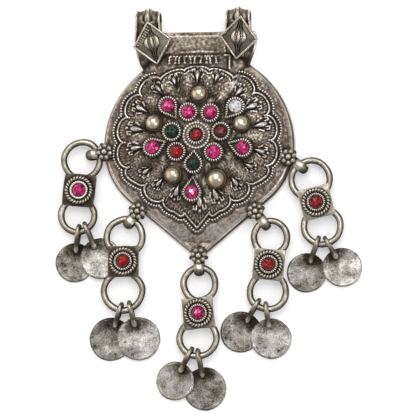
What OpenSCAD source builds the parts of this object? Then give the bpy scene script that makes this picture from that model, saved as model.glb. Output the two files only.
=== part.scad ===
// Amulet pendant of oxidised silver with five stone-set drops, lying on its flat back.
// X runs across the plate, Y up towards the bails, Z out of the decorated front.

/* [Plate] */
// Radius of the round upper part of the plate
plate_r = 36; // [35:0.5:37]
// Radius of the two lower side curves
flank_r = 27; // [26:0.5:28]
// Distance of the lower tip from the centre
tip_y = 43; // [42:0.5:44]
// Distance of the neck's top edge from the centre
neck_y = 43; // [42.5:0.5:43.5]
// Height of the sloping side wall
wall_h = 3.5; // [3:0.1:4]
// Share of the outline that is left at the top of the side wall
wall_in = 0.967; // [0.96:0.001:0.975]
// Rise of the domed front above its edge
dome_h = 4.5; // [4:0.1:5]
// Thickness of the silver sheet
sheet = 0.8; // [0.6:0.1:1]

/* [Relief] */
// Number of lobes in the scalloped line, and of lily buds inside it
lobes = 18; // [16:2:20]
// Radius of the cusps between the lobes
cusp_r = 27; // [26.5:0.1:27.5]
// Radius of the lobes' outermost points
lobe_r = 30.1; // [30:0.1:30.6]
// Height of the scalloped ridge above the dome
ridge_h = 0.6; // [0.4:0.1:0.8]
// Distance between the smooth ridge and the outer one
ridge_gap = 1.8; // [1.6:0.1:2]
// Radius of the ring of lily buds
bud_r = 24.4; // [24:0.1:24.8]

/* [Stones] */
// Radius of a stone's girdle
stone_r = 2.4; // [2.2:0.05:2.5]
// Radius of a toothed bezel
bezel_r = 3.6; // [3.5:0.05:3.8]
// Clearance round every loose piece
gap = 0.1; // [0.08:0.01:0.12]

/* [Drops] */
// Radius of the ring wire
wire_r = 1.25; // [1.2:0.05:1.25]
// Height of the rings' centre line over the surface
ring_z = 3.05; // [3.05:0.05:3.1]
// Side of the square plates
square_w = 11; // [10.6:0.1:11.2]
// Thickness of a hanging disc
disc_t = 0.9; // [0.8:0.05:0.95]
// Radius of the hook wire
hook_r = 0.7; // [0.6:0.05:0.7]

/* [Bails] */
// Radius of the channel for the cord
bore_r = 3.2; // [3:0.1:3.2]
// Thickness of the strap
strap_t = 0.9; // [0.8:0.1:1]
// Width of each strap
strap_w = 9.1; // [8.8:0.1:9.6]

/* [Hidden] */
// The drops from the viewer's left to right. Each row holds the upper ring's centre and
// diameter, the lower ring's centre and diameter, the square's place along the line
// between them, and the square's turn
RING_X = 0;
RING_Y = 1;
RING_D = 2;
LOW_X = 3;
LOW_Y = 4;
LOW_D = 5;
SQUARE_AT = 6;
SQUARE_TURN = 7;
DROPS = [
  [-43.7, -5.0, 16.0, -45.2, -25.6, 14.8, 0.55, -6],
  [-27.6, -33.8, 16.0, -28.2, -53.8, 16.7, 0.46, 0],
  [0.3, -51.4, 14.5, -0.2, -71.4, 16.0, 0.55, 6],
  [26.7, -34.5, 14.8, 25.6, -54.5, 15.8, 0.51, -6],
  [41.6, -13.2, 16.7, 45.8, -30.6, 15.8, 0.50, 14]
];
// The loops that carry them: the rosette's centre, the direction in which the strap
// leaves it, and the strap's reach
LOOP_X = 0;
LOOP_Y = 1;
LOOP_TURN = 2;
LOOP_REACH = 3;
LOOPS = [
  [-35.0, -2.1, 190, 7.5],
  [-22.6, -24.4, 232, 7.7],
  [0.2, -41.2, 270, 7.5],
  [21.3, -24.9, 305, 8.2],
  [33.5, -5.0, 322, 8.6]
];
// The two discs of each drop: centre, diameter, where its hook grips the lower ring, and
// which of the two lies on the other
DISC_X = 0;
DISC_Y = 1;
DISC_D = 2;
DISC_GRIP = 3;
DISC_ON_TOP = 4;
DISCS = [
  [[-46.6, -43.0, 14.8, 272, false], [-36.9, -41.7, 15.6, 304, true]],
  [[-32.9, -71.6, 16.3, 261, false], [-22.6, -71.5, 16.3, 294, true]],
  [[-8.8, -87.2, 14.5, 241, true], [2.1, -90.1, 16.0, 272, false]],
  [[15.4, -69.2, 15.4, 229, false], [26.5, -71.7, 15.2, 266, true]],
  [[39.8, -47.5, 14.8, 252, false], [52.9, -45.7, 14.8, 288, true]]
];
// The set stones of the plate: centre, height of the bezel's rim over the dome, length
// and direction of its point where it is drop-shaped, and the stone's colour
SET_X = 0;
SET_Y = 1;
SET_H = 2;
SET_POINT = 3;
SET_TURN = 4;
SET_COLOUR = 5;
SETS = [
  [-0.2, 3.1, 2.9, 0, 0, "crimson"],
  [-3.2, 11.8, 2.3, 0, 0, "deeppink"],
  [4.9, 11.3, 2.3, 0, 0, "deeppink"],
  [-9.3, 4.5, 2.2, 0, 0, "darkgreen"],
  [8.9, 4.4, 2.2, 0, 0, "darkred"],
  [-7.6, -2.9, 2.2, 0, 0, "crimson"],
  [6.2, -3.3, 2.3, 0, 0, "deeppink"],
  [-1.3, -7.6, 2.2, 5.6, 86, "darkgreen"],
  [-10.9, 14.4, 2.3, 6.4, 304, "deeppink"],
  [14.2, 13.7, 2.3, 6.2, 231, "azure"],
  [-16.6, -1.1, 2.3, 6.0, 22, "deeppink"],
  [16.9, -1.8, 2.3, 6.2, 160, "deeppink"],
  [-1.9, -18.0, 2.3, 6.4, 85, "deeppink"]
];
SET_NAMES = [
  "stone_centre", "stone_inner_1", "stone_inner_2", "stone_inner_3", "stone_inner_4",
  "stone_inner_5", "stone_inner_6", "stone_drop_1", "stone_drop_2", "stone_drop_3",
  "stone_drop_4", "stone_drop_5", "stone_drop_6"
];
DROP_COLOURS = ["deeppink", "crimson", "deeppink", "crimson", "crimson"];
DROP_SIDES = ["left", "lower_left", "bottom", "lower_right", "right"];
// The polished bosses: centre and radius
BOSSES = [
  [0.6, 18.7, 3.0], [-16.3, 8.1, 2.9], [16.2, 7.4, 2.9], [-9.1, -11.4, 3.0], [7.1, -13.2, 3.4]
];
// The bails: centre across the neck, then the diamond's centre, width, length and lean
BAIL_X = 0;
GEM_X = 1;
GEM_Y = 2;
GEM_W = 3;
GEM_L = 4;
GEM_TURN = 5;
BAILS = [
  [-18.65, -16.8, 37.8, 14.2, 16.8, 12],
  [15.0, 15.4, 39.6, 13.8, 16.6, -7]
];

// Points along the plate's outline, anticlockwise from the right
ARC_STEP = 6;
NECK_RIGHT = 58;
NECK_LEFT = 126;
EDGE_STEPS = 4;
flank_x = plate_r - flank_r;
tip_turn = acos(flank_r / norm([flank_x, tip_y]));
flank_end = atan2(-tip_y, -flank_x) + tip_turn;
flank_steps = 8;
function on_arc(cx, r, a) = [cx + r * cos(a), r * sin(a)];
function between(a, b, n) = [for (i = [1:n - 1]) a + (b - a) * i / n];
tip = [0, -tip_y];
flank_low = on_arc(flank_x, flank_r, flank_end);
neck_right = [[19.9, 33.0], [21.6, 37.4], [21.6, neck_y]];
neck_left = [[-24.2, neck_y], [-24.1, 36.6], [-23.0, 32.2]];
lower_outline = concat(
  [for (i = [0:flank_steps]) on_arc(-flank_x, flank_r, 180 - flank_end * i / flank_steps)],
  between([-flank_low[0], flank_low[1]], tip, EDGE_STEPS),
  [tip],
  between(tip, flank_low, EDGE_STEPS),
  [for (i = [0:flank_steps - 1]) on_arc(flank_x, flank_r, flank_end * (1 - i / flank_steps))]
);
outline = concat(
  [for (a = [0:ARC_STEP:NECK_RIGHT]) on_arc(0, plate_r, a)],
  [on_arc(0, plate_r, NECK_RIGHT)],
  neck_right,
  between(neck_right[2], neck_left[0], 8),
  neck_left,
  [for (a = [NECK_LEFT:ARC_STEP:180 - ARC_STEP]) on_arc(0, plate_r, a)],
  lower_outline
);
// The hollow inside follows the round plate and the tip, and leaves the neck solid
hollow_outline = concat([for (a = [0:10:170]) on_arc(0, plate_r, a)], lower_outline);

// The vent in the back, which let the hot air out when the box was soldered shut
vent_y = 24;
vent_r = 0.8;

// Height of the domed front, r away from the centre
edge_rise = 0.3;
function dome(r) = wall_h + edge_rise + dome_h * max(0, 1 - pow(r / plate_r, 2));
function dome_at(x, y) = dome(norm([x, y]));

// The square's seat on the rings, and the heights that follow from it
square_t = 1;
square_z = ring_z + wire_r - 0.3;
drop_bezel_h = 1.6;
drop_bezel_r = 3.35;
drop_stone_r = stone_r - 0.2;
rope_r = 0.7;
rope_ring_r = 4.45;

// Depth of a stone in its setting, how far a setting is sunk into the dome, and the
// collar round the middle one
set_depth = 1.2;
set_sunk = 0.6;
collar_r = 4.7;

// Stone proportions
girdle_h = 0.4;
crown_h = 0.8;
table_r = 1.45;
keel_h = 0.5;

// Loop strap
loop_t = 1.2;
loop_w = 3;
loop_clear = 0.35;
loop_root = 0.3;

// Bail geometry
bail_y = 46.8;
bail_z = 4.2;
gem_slope = 10.9;
strap_end_y = 33;
gem_t = 0.9;
gem_rim = 1;
gem_rim_h = 0.7;
spindle_r = 0.95;
spindle_l = 8.4;
spindle_pitch = 2;
rib_w = 1.8;
rib_rise = 0.7;
border_w = 0.9;
border_rise = 0.3;

// A closed skin through rings of points, each a share of the outline at its own height
module skin(rings, top_z) {
  count = len(rings[0]);
  points = concat([for (ring = rings) each ring], [[0, 0, top_z]]);
  last = len(rings) - 1;
  polyhedron(points, concat(
    [[for (i = [0:count - 1]) i]],
    [for (k = [0:last - 1], i = [0:count - 1])
      let (j = (i + 1) % count)
      each [
        [k * count + i, (k + 1) * count + i, k * count + j],
        [k * count + j, (k + 1) * count + i, (k + 1) * count + j]
      ]],
    [for (i = [0:count - 1]) [last * count + i, len(points) - 1, last * count + (i + 1) % count]]
  ));
}
// A line whose points are moved along it by so many half steps
function stepped(line, halves) =
  let (n = len(line))
  [for (i = [0:n - 1])
    (line[(i + floor(halves / 2)) % n] + line[(i + ceil(halves / 2)) % n]) / 2];
function ring_flat(line, f, z) = [for (p = line) [p[0] * f, p[1] * f, z]];
function ring_domed(line, f, drop) =
  [for (p = line) [p[0] * f, p[1] * f, dome(norm(p) * f) - drop]];

// The hollow box of sheet: domed front, sloping wall and flat back with its vent
module shell() {
  shares = [0.93, 0.78, 0.58, 0.32];
  difference() {
    skin(concat(
      [ring_flat(outline, 1, 0), ring_flat(outline, wall_in, wall_h)],
      [for (k = [0:3]) ring_domed(stepped(outline, k + 1), shares[k], 0)]
    ), dome(0));
    skin(concat(
      [ring_flat(hollow_outline, 0.95, sheet), ring_flat(hollow_outline, 0.93, wall_h - sheet)],
      [for (f = [0.86, 0.6]) ring_domed(hollow_outline, f, sheet)]
    ), dome(0) - sheet);
    translate([0, vent_y, -1]) cylinder(h = sheet + 1.5, r = vent_r, $fn = 8);
  }
}

// Relief: two scalloped ridges, the lily buds and the ribs across the neck
RIDGE_X = -0.4;
RIDGE_Y = 1.2;
BUD_X = -0.1;
BUD_Y = 2.2;
top_lobe_r = 28.2;
point_lobe_r = 32.6;
lobe_pitch = 360 / lobes;
function lobe_top(i) =
  i == lobes / 2 ? point_lobe_r : (i < 2 || i == lobes - 1 ? top_lobe_r : lobe_r);
function bulge(i, u) = i == lobes / 2 ? 1 - abs(2 * u - 1) : sqrt(1 - pow(2 * u - 1, 2));
function lobe_radius(i, u) = cusp_r + (lobe_top(i) - cusp_r) * bulge(i, u);
ridge_half = 0.5;
ridge_steps = 5;
// The scalloped line: a smooth ridge, a groove and an outer ridge, swept round the plate
module scallops() {
  sunk = 0.3;
  groove_h = 0.15;
  profile = [
    [-ridge_half, -sunk], [0, ridge_h], [ridge_gap / 2, groove_h], [ridge_gap, ridge_h],
    [ridge_gap + ridge_half, -sunk]
  ];
  m = len(profile);
  n = lobes * ridge_steps;
  polyhedron(
    [for (i = [0:lobes - 1], s = [0:ridge_steps - 1], q = profile)
      let (
        u = s / ridge_steps,
        a = 90 - lobe_pitch * (i - 0.5 + u),
        r = lobe_radius(i, u) + q[0],
        x = RIDGE_X + r * cos(a),
        y = RIDGE_Y + r * sin(a)
      )
      [x, y, dome_at(x, y) + q[1]]],
    [for (i = [0:n - 1], k = [0:m - 1])
      let (j = (i + 1) % n, l = (k + 1) % m)
      each [
        [m * i + k, m * i + l, m * j + k],
        [m * i + l, m * j + l, m * j + k]
      ]]
  );
}
// A low pointed boss, the blank of a bud's curl or of a rib's end
module point(r, h) cylinder(h = h, r1 = r, r2 = 0, $fn = 6);
// A polished ball, of which the front alone is modelled
module ball(r) rotate_extrude($fn = 14) polygon(concat(
  [for (a = [90:-22.5:0]) r * [cos(a), sin(a)]], [[r * 0.85, -1.2], [0, -1.2]]
));
// A lily bud: a kernel that tapers towards the centre, and two curled leaves outside it
module bud(a) {
  sunk = 0.4;
  leaf_out = 2.3;
  leaf_side = 1.3;
  x = BUD_X + bud_r * cos(a);
  y = BUD_Y + bud_r * sin(a);
  translate([x, y, dome_at(x, y) - sunk]) rotate([0, 0, a]) {
    hull() {
      point(1.3, 1.5);
      translate([-3, 0, 0]) point(0.4, 1);
    }
    for (side = [-1, 1])
      translate([leaf_out, side * leaf_side, 0]) point(0.9, 1.1);
  }
}
// The smooth plate above the neck's step, the ribs below it and the short bar beside them
module neck_relief() {
  band_z = dome(plate_r);
  rib_x = -11.2;
  rib_y = 33.3;
  rib_l = 2.6;
  rib_pitch = 2.45;
  translate([-13, rib_y + 1.1, band_z - 0.3]) cube([22.4, 7, 0.7]);
  for (i = [0:8])
    translate([rib_x + i * rib_pitch, rib_y, band_z - 0.4]) hull() {
      point(0.8, 1.1);
      translate([0, -rib_l, 0.3]) point(0.8, 1.2);
    }
  translate([11.3, rib_y - 4.8, band_z - 0.3]) cube([0.8, 5, 1]);
}

// Outline of a toothed bezel: round, or with a point of length reach
function tooth(i, cut) = i % 2 == 0 ? 1 : 1 - cut;
function round_teeth(r, n, cut) = [for (i = [0:2 * n - 1]) tooth(i, cut) * on_arc(0, r, 180 * i / n)];
function drop_teeth(r, reach, n, cut) =
  let (
    side = acos(r / reach),
    flat = concat(
      [for (i = [0:2 * n]) on_arc(0, r, side + (360 - 2 * side) * i / (2 * n))],
      between(on_arc(0, r, -side), [reach, 0], 4),
      [[reach, 0]],
      between([reach, 0], on_arc(0, r, side), 4)
    )
  )
  [for (i = [0:len(flat) - 1]) tooth(i, cut) * flat[i]];
module bezel(reach, turn, height) {
  teeth = 6;
  cut = 0.1;
  rim = 0.85;
  rotate([0, 0, turn]) difference() {
    linear_extrude(height) polygon(
      reach > 0 ? drop_teeth(bezel_r, reach, teeth, cut) : round_teeth(bezel_r, 2 * teeth, cut)
    );
    if (reach > 0)
      translate([0, 0, height - 0.5]) linear_extrude(1)
        polygon(drop_teeth(bezel_r - rim, reach - 1.4 * rim, 5, 0));
    translate([0, 0, height - set_depth])
      cylinder(h = set_depth + 1, r = stone_r + gap, $fn = 12);
  }
}

// A rosette of grains on the strap loop that carries a drop, open for the ring's wire
module rosette() {
  grain_r = 1;
  grain_ring = 1.9;
  seat_r = 2.4;
  seat_z = wall_h + 2.1 - ring_z;
  translate([0, 0, seat_z - 2.4]) cylinder(h = 2.4, r = seat_r, $fn = 10);
  translate([0, 0, seat_z + 0.6]) sphere(grain_r, $fn = 6);
  for (a = [0:60:300])
    rotate([0, 0, a]) translate([grain_ring, 0, seat_z]) sphere(grain_r, $fn = 6);
}
module loop_side(end, r) {
  translate([end, 0]) circle(r, $fn = 16);
  translate([0, -r]) square([end, 2 * r]);
}
module carrier(loop) {
  root = 2;
  inside = wire_r + loop_clear;
  end = loop[LOOP_REACH] - inside - loop_t;
  translate([loop[LOOP_X], loop[LOOP_Y], ring_z]) rotate([0, 0, loop[LOOP_TURN]])
    difference() {
      union() {
        rosette();
        translate([-root, 0, 0]) rotate([90, 0, 0]) linear_extrude(loop_w, center = true)
          loop_side(end + root, inside + loop_t);
      }
      translate([loop_root, 0, 0]) rotate([90, 0, 0]) linear_extrude(3 * loop_w, center = true)
        loop_side(end - loop_root, inside);
    }
}

module body() color("silver") {
  shell();
  scallops();
  for (i = [0:lobes - 1]) bud(90 + i * lobe_pitch);
  neck_relief();
  for (b = BOSSES) translate([b[0], b[1], dome_at(b[0], b[1]) + 0.7]) ball(b[2]);
  for (s = SETS)
    translate([s[SET_X], s[SET_Y], dome_at(s[SET_X], s[SET_Y]) - set_sunk])
      bezel(s[SET_POINT], s[SET_TURN], s[SET_H] + set_sunk);
  translate([SETS[0][SET_X], SETS[0][SET_Y], dome(3) - set_sunk])
    linear_extrude(1 + set_sunk) polygon(round_teeth(collar_r, 18, 0.08));
  for (loop = LOOPS) carrier(loop);
}

// A round cut stone: table, twelve crown facets each way, girdle and a shallow keel
module stone(colour) color(colour) hull() {
  translate([0, 0, keel_h]) cylinder(h = girdle_h, r = stone_r, $fn = 12);
  translate([0, 0, keel_h + girdle_h]) rotate([0, 0, 15])
    cylinder(h = crown_h, r = table_r, $fn = 12);
  cylinder(h = 0.1, r = 1, $fn = 6);
}
module set_stone(i) {
  s = SETS[i];
  rim_z = dome_at(s[SET_X], s[SET_Y]) + s[SET_H];
  translate([s[SET_X], s[SET_Y], rim_z - set_depth + gap])
    rotate([0, 0, s[SET_TURN]]) stone(s[SET_COLOUR]);
}

// A bail: the strap bent round the cord channel, its foot against the neck's end face,
// and the diamond that lies on its front leg
module rhombus(w, l) polygon([[0, -l / 2], [w / 2, 0], [0, l / 2], [-w / 2, 0]]);
module bail(b) color("silver") {
  outer_r = bore_r + strap_t;
  slope = tan(gem_slope);
  front_z = bail_z + outer_r;
  foot_y = neck_y + 1.5 * gap;
  foot_z = 1.2 * gap;
  wall_back = neck_y * (1 - wall_in);
  leg_z = front_z - (bail_y - strap_end_y) * slope;
  gem_z = front_z - (bail_y - b[GEM_Y]) * slope - 0.2;
  difference() {
    union() {
      translate([b[BAIL_X] - strap_w / 2, 0, 0]) rotate([90, 0, 90]) linear_extrude(strap_w) {
        translate([bail_y, bail_z]) circle(outer_r, $fn = 48);
        polygon([
          [foot_y, foot_z], [bail_y, bail_z - outer_r], [bail_y, bail_z],
          [bail_y - outer_r, bail_z], [foot_y - wall_back, wall_h]
        ]);
        polygon([
          [bail_y, front_z], [bail_y, front_z - strap_t],
          [strap_end_y, leg_z - strap_t], [strap_end_y, leg_z]
        ]);
      }
      strap_rib(b[BAIL_X], rib_w, rib_rise);
      for (side = [-1, 1])
        strap_rib(b[BAIL_X] + side * (strap_w - border_w) / 2, border_w, border_rise);
      translate([b[GEM_X], b[GEM_Y], gem_z]) rotate([gem_slope, 0, 0])
        rotate([0, 0, b[GEM_TURN]]) diamond(b[GEM_W], b[GEM_L]);
    }
    translate([b[BAIL_X], bail_y, bail_z]) rotate([0, 90, 0])
      cylinder(h = 2 * strap_w, r = bore_r, center = true, $fn = 48);
    // nothing of the rib or the borders reaches the surface below
    translate([b[BAIL_X] - strap_w, bail_y - 2 * outer_r, -2])
      cube([2 * strap_w, 4 * outer_r, 2 + gap]);
  }
}
// A raised rib round the strap
module strap_rib(x, width, rise)
  translate([x, bail_y, bail_z]) rotate([0, 90, 0])
    cylinder(h = width, r = bore_r + strap_t + rise, center = true, $fn = 48);
// The diamond plate with its wire border and the three fluted spindles inside it
module diamond(w, l) {
  linear_extrude(gem_t) rhombus(w, l);
  difference() {
    linear_extrude(gem_t + gem_rim_h) rhombus(w, l);
    translate([0, 0, gem_t - 0.1]) linear_extrude(gem_rim_h + 1)
      rhombus(w - 3 * gem_rim, l - 3.4 * gem_rim);
  }
  for (i = [-1:1])
    translate([i * spindle_pitch, 0, gem_t]) rotate([90, 0, 0]) spindle(1 - 0.25 * abs(i));
}
module spindle(size) {
  l = spindle_l * size / 2;
  rotate_extrude($fn = 24) polygon([[0, -l], [spindle_r, -l / 3], [spindle_r, l / 3], [0, l]]);
}

// A drop's link: two rings, the square across their meeting, its rope of twisted wire and
// the toothed bezel, soldered together
module ring(d) rotate_extrude($fn = 48) translate([d / 2 - wire_r, 0]) circle(wire_r, $fn = 16);
function square_place(d) = [
  d[RING_X] + (d[LOW_X] - d[RING_X]) * d[SQUARE_AT],
  d[RING_Y] + (d[LOW_Y] - d[RING_Y]) * d[SQUARE_AT],
  square_z
];
module link(d) color("silver") {
  translate([d[RING_X], d[RING_Y], ring_z]) ring(d[RING_D]);
  translate([d[LOW_X], d[LOW_Y], ring_z]) ring(d[LOW_D]);
  translate(square_place(d)) rotate([0, 0, d[SQUARE_TURN]]) difference() {
    union() {
      linear_extrude(square_t) square(square_w, center = true);
      translate([0, 0, square_t + rope_r / 2]) rotate_extrude($fn = 36)
        translate([rope_ring_r, 0]) circle(rope_r, $fn = 16);
      linear_extrude(square_t + drop_bezel_h) polygon(round_teeth(drop_bezel_r, 18, 0.1));
    }
    translate([0, 0, square_t + drop_bezel_h - set_depth])
      cylinder(h = set_depth + 1, r = drop_stone_r + gap, $fn = 16);
  }
}
module gem(i) {
  translate(square_place(DROPS[i]) + [0, 0, square_t + drop_bezel_h - set_depth + gap])
    scale(drop_stone_r / stone_r) stone(DROP_COLOURS[i]);
}

// How far inside the disc's edge the hook's foot and the ball of its front leg lie
foot_in = 1.2;
blob_in = 3;

// A hanging disc with the hook that grips the lower ring. The disc that lies on its
// neighbour is tipped, its outer edge on the surface
function ring_grip(drop, disc) =
  [drop[LOW_X], drop[LOW_Y]] + on_arc(0, drop[LOW_D] / 2 - wire_r, disc[DISC_GRIP]);
module disc(i, k) color("gainsboro") {
  drop = DROPS[i];
  me = DISCS[i][k];
  other = DISCS[i][1 - k];
  r = me[DISC_D] / 2;
  centre = [me[DISC_X], me[DISC_Y]];
  away = centre - [other[DISC_X], other[DISC_Y]];
  away_turn = atan2(away[1], away[0]);
  overlap = r + other[DISC_D] / 2 - norm(away);
  rise = me[DISC_ON_TOP] ? (disc_t + 3 * gap) / (2 * r - overlap) : 0;
  reach = ring_grip(drop, me) - centre;
  hook_turn = atan2(reach[1], reach[0]);
  lean = cos(hook_turn - away_turn);
  translate([centre[0], centre[1], 0]) {
    rotate([0, 0, away_turn]) translate([r, 0, 0]) rotate([0, atan(rise), 0]) translate([-r, 0, 0])
      rotate_extrude($fn = 48)
        polygon([[0, 0], [r - 0.3, 0], [r, 0.3], [r, disc_t - 0.2], [r - 0.2, disc_t], [0, disc_t]]);
    rotate([0, 0, hook_turn])
      hook(norm(reach), [for (inset = [foot_in, blob_in])
        let (u = r - inset) [u, rise * (r - u * lean) + disc_t / 2]]);
  }
}
module leg(from, to) {
  way = (to - from) / norm(to - from);
  side = hook_r * [-way[1], way[0]];
  polygon([from + side, from - side, to - side, to + side]);
}
// The hook, seen from the side: its foot is soldered to the disc's edge, it bends round the
// ring's wire, and its front leg ends in a ball on the disc
module hook(grip, seats) {
  bend = wire_r + hook_r + 0.35;
  blob_r = 1.1;
  foot = [seats[0][0], max(seats[0][1], hook_r + gap / 2)];
  blob = [seats[1][0], max(seats[1][1] + 0.6, blob_r + gap / 2)];
  axle = [grip, ring_z];
  under = axle - [0, bend];
  // the front leg leaves the bend along the tangent that meets the ball
  way = blob - axle;
  tangent = 180 + atan2(-way[1], -way[0]) - acos(bend / norm(way));
  open = 270 - tangent;
  far = 3 * bend;
  rotate([90, 0, 0]) linear_extrude(2 * hook_r, center = true) {
    translate(axle) difference() {
      circle(bend + hook_r, $fn = 48);
      circle(bend - hook_r, $fn = 48);
      polygon(concat([[0, 0]], [for (i = [0:3]) on_arc(0, far, tangent + open * i / 3)]));
    }
    leg(axle + on_arc(0, bend, tangent), blob);
    leg(under, foot);
  }
  translate([blob[0], 0, blob[1]]) sphere(blob_r, $fn = 24);
}

body();
bail(BAILS[0]);  // bail_left
bail(BAILS[1]);  // bail_right
for (i = [0:len(SETS) - 1])
  set_stone(i);
for (i = [0:len(DROPS) - 1]) {
  link(DROPS[i]);
  gem(i);
  for (k = [0:1])
    disc(i, k);
}
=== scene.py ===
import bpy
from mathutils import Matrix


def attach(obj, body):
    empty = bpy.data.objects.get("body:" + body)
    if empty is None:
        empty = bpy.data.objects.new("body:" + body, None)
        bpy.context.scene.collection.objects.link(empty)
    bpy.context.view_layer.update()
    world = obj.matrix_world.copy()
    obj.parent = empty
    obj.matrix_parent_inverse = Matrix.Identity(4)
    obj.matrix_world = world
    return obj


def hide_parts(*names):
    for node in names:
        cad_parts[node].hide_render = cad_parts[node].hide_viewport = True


bl_info = {
    "name": "Amulet pendant with stone-set drops",
    "version": (1, 0, 0),
    "blender": (4, 5, 0),
    "location": "View3D > Sidebar > Amulet",
    "description": "Dresses the packed pendant: chased plate, settings, stones, bails and drops",
    "category": "Object",
}

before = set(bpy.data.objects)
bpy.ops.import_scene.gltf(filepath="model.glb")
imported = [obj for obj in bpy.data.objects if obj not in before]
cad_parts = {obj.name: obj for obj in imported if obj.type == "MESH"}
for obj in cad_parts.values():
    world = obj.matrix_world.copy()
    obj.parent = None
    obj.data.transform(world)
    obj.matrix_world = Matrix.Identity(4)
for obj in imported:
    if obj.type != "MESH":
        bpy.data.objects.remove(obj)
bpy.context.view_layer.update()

import random
from math import acos, atan, atan2, cos, degrees, exp, hypot, pi, radians, sin, tan

import bmesh
import bpy
import numpy as np
from bpy.props import FloatProperty, FloatVectorProperty, PointerProperty
from mathutils import Matrix, Vector, kdtree, noise

# The same dents in each run
noise.seed_set(1)

MM = 0.001
BODY = "root"

# Sizes and places in millimetres. Most of them are the solids' own
PLATE_R = 36.0
FLANK_R = 27.0
TIP_Y = 43.0
NECK_Y = 43.0
NECK_FOOT = 28
WALL_H = 3.5
WALL_IN = 0.967
EDGE_RISE = 0.3
DOME_H = 4.5
NECK_RIGHT = [(19.9, 33.0), (21.6, 37.4), (21.6, NECK_Y)]
NECK_LEFT = [(-24.2, NECK_Y), (-24.1, 36.6), (-23.0, 32.2)]
LOBES = 18
PITCH = 360 / LOBES
RIDGE = (-0.4, 1.2)
CUSP_R = 27.0
LOBE_R = 30.1
TOP_R = 28.2
POINT_R = 32.0
DRAWN_IN = 2.6
BUD_RING = (-0.1, 2.2, 24.4)
# The strokes of a bud's leaf: start, end, height and width
LEAVES = [
    ((0.6, 0.9), (2.0, 1.2), 0.45, 0.3), ((2.0, 1.2), (1.7, 2.0), 0.4, 0.26),
    ((1.7, 2.0), (0.9, 1.9), 0.3, 0.24), ((-1.6, 1.3), (-0.2, 2.2), 0.22, 0.3),
]
BEZEL_R = 3.6
BEAD_LINE = 1.45
SET_DEPTH = 1.2
STONE_GAP = 0.1
RING_Z = 3.05
WIRE_R = 1.25
HOOK_R = 0.7
DISC_T = 0.9
SQUARE_Z = RING_Z + WIRE_R - 0.3
SQUARE_T = 1.0
SQUARE_W = 12.0
DROP_BEZEL_R = 3.55
DROP_BEZEL_H = 1.6
BORE_R = 3.2
STRAP_T = 0.9
STRAP_W = 9.1
BAIL_Y = 46.8
BAIL_Z = 4.2
GEM_SLOPE = 10.9
STRAP_END_Y = 33.0
SIDES = ["left", "lower_left", "bottom", "lower_right", "right"]
# Upper ring x, y, diameter; lower ring x, y, diameter; the square's place and turn
DROPS = [
    (-43.7, -5.0, 16.0, -45.2, -25.6, 14.8, 0.55, -6),
    (-27.6, -33.8, 16.0, -28.2, -53.8, 16.7, 0.46, 0),
    (0.3, -51.4, 14.5, -0.2, -71.4, 16.0, 0.55, 6),
    (26.7, -34.5, 14.8, 25.6, -54.5, 15.8, 0.51, -6),
    (41.6, -13.2, 16.7, 45.8, -30.6, 15.8, 0.50, 14),
]
# Rosette x, y, the loop's direction and its reach
LOOPS = [
    (-35.0, -2.1, 190, 7.5),
    (-22.6, -24.4, 232, 7.7),
    (0.2, -41.2, 270, 7.5),
    (21.3, -24.9, 305, 8.2),
    (33.5, -5.0, 322, 8.6),
]
# Disc x, y, diameter, the hook's place on the ring, whether it lies on its neighbour
DISCS = [
    [(-46.6, -43.0, 14.8, 272, False), (-36.9, -41.7, 15.6, 304, True)],
    [(-32.9, -71.6, 16.3, 261, False), (-22.6, -71.5, 16.3, 294, True)],
    [(-8.8, -87.2, 14.5, 241, True), (2.1, -90.1, 16.0, 272, False)],
    [(15.4, -69.2, 15.4, 229, False), (26.5, -71.7, 15.2, 266, True)],
    [(39.8, -47.5, 14.8, 252, False), (52.9, -45.7, 14.8, 288, True)],
]
# Setting x, y, rim height, length and direction of its point, stone
SETS = [
    ("centre", -0.2, 3.1, 2.9, 0.0, 0, "crimson"),
    ("inner_1", -3.2, 11.8, 2.3, 0.0, 0, "pink"),
    ("inner_2", 4.9, 11.3, 2.3, 0.0, 0, "pink"),
    ("inner_3", -9.3, 4.5, 2.2, 0.0, 0, "green"),
    ("inner_4", 8.9, 4.4, 2.2, 0.0, 0, "dark_red"),
    ("inner_5", -7.6, -2.9, 2.2, 0.0, 0, "crimson"),
    ("inner_6", 6.2, -3.3, 2.3, 0.0, 0, "pink"),
    ("drop_1", -1.3, -7.6, 2.2, 5.6, 86, "green"),
    ("drop_2", -10.9, 14.4, 2.3, 6.4, 304, "pink"),
    ("drop_3", 14.2, 13.7, 2.3, 6.2, 231, "clear"),
    ("drop_4", -16.6, -1.1, 2.3, 6.0, 22, "pink"),
    ("drop_5", 16.9, -1.8, 2.3, 6.2, 160, "pink"),
    ("drop_6", -1.9, -18.0, 2.3, 6.4, 85, "pink"),
]
# How far the lowest stone leans down the dome, in degrees
LEAN = 6
DROP_STONES = ["pink", "crimson", "pink", "crimson", "crimson"]
# Stones that are smaller than the others, and their share of the size
SMALL_STONES = ("centre", "inner_4", "drop_1")
SMALL = 0.86
# Edges sharper than this angle stay sharp on a cut stone
FACETED = 5
# Boss x, y, radius
BOSSES = [(0.6, 18.7, 3.0), (-16.3, 8.1, 2.9), (16.2, 7.4, 2.9), (-9.1, -11.4, 3.0), (7.1, -13.2, 3.4)]
# Bail x; its diamond's x, y, width, length and turn
BAILS = [
    ("left", -18.65, -16.9, 38.3, 14.9, 17.1, 12),
    ("right", 15.0, 15.4, 39.7, 14.5, 16.9, -7),
]
# The lozenges' rows of beads: side of the lozenge, inset and lift
BEAD_ROWS = {"left": [(3, 1.35, 0.2), (3, 2.2, 0.2)], "right": [(3, 0.5, 0.62), (0, 0.5, 0.62)]}
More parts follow.
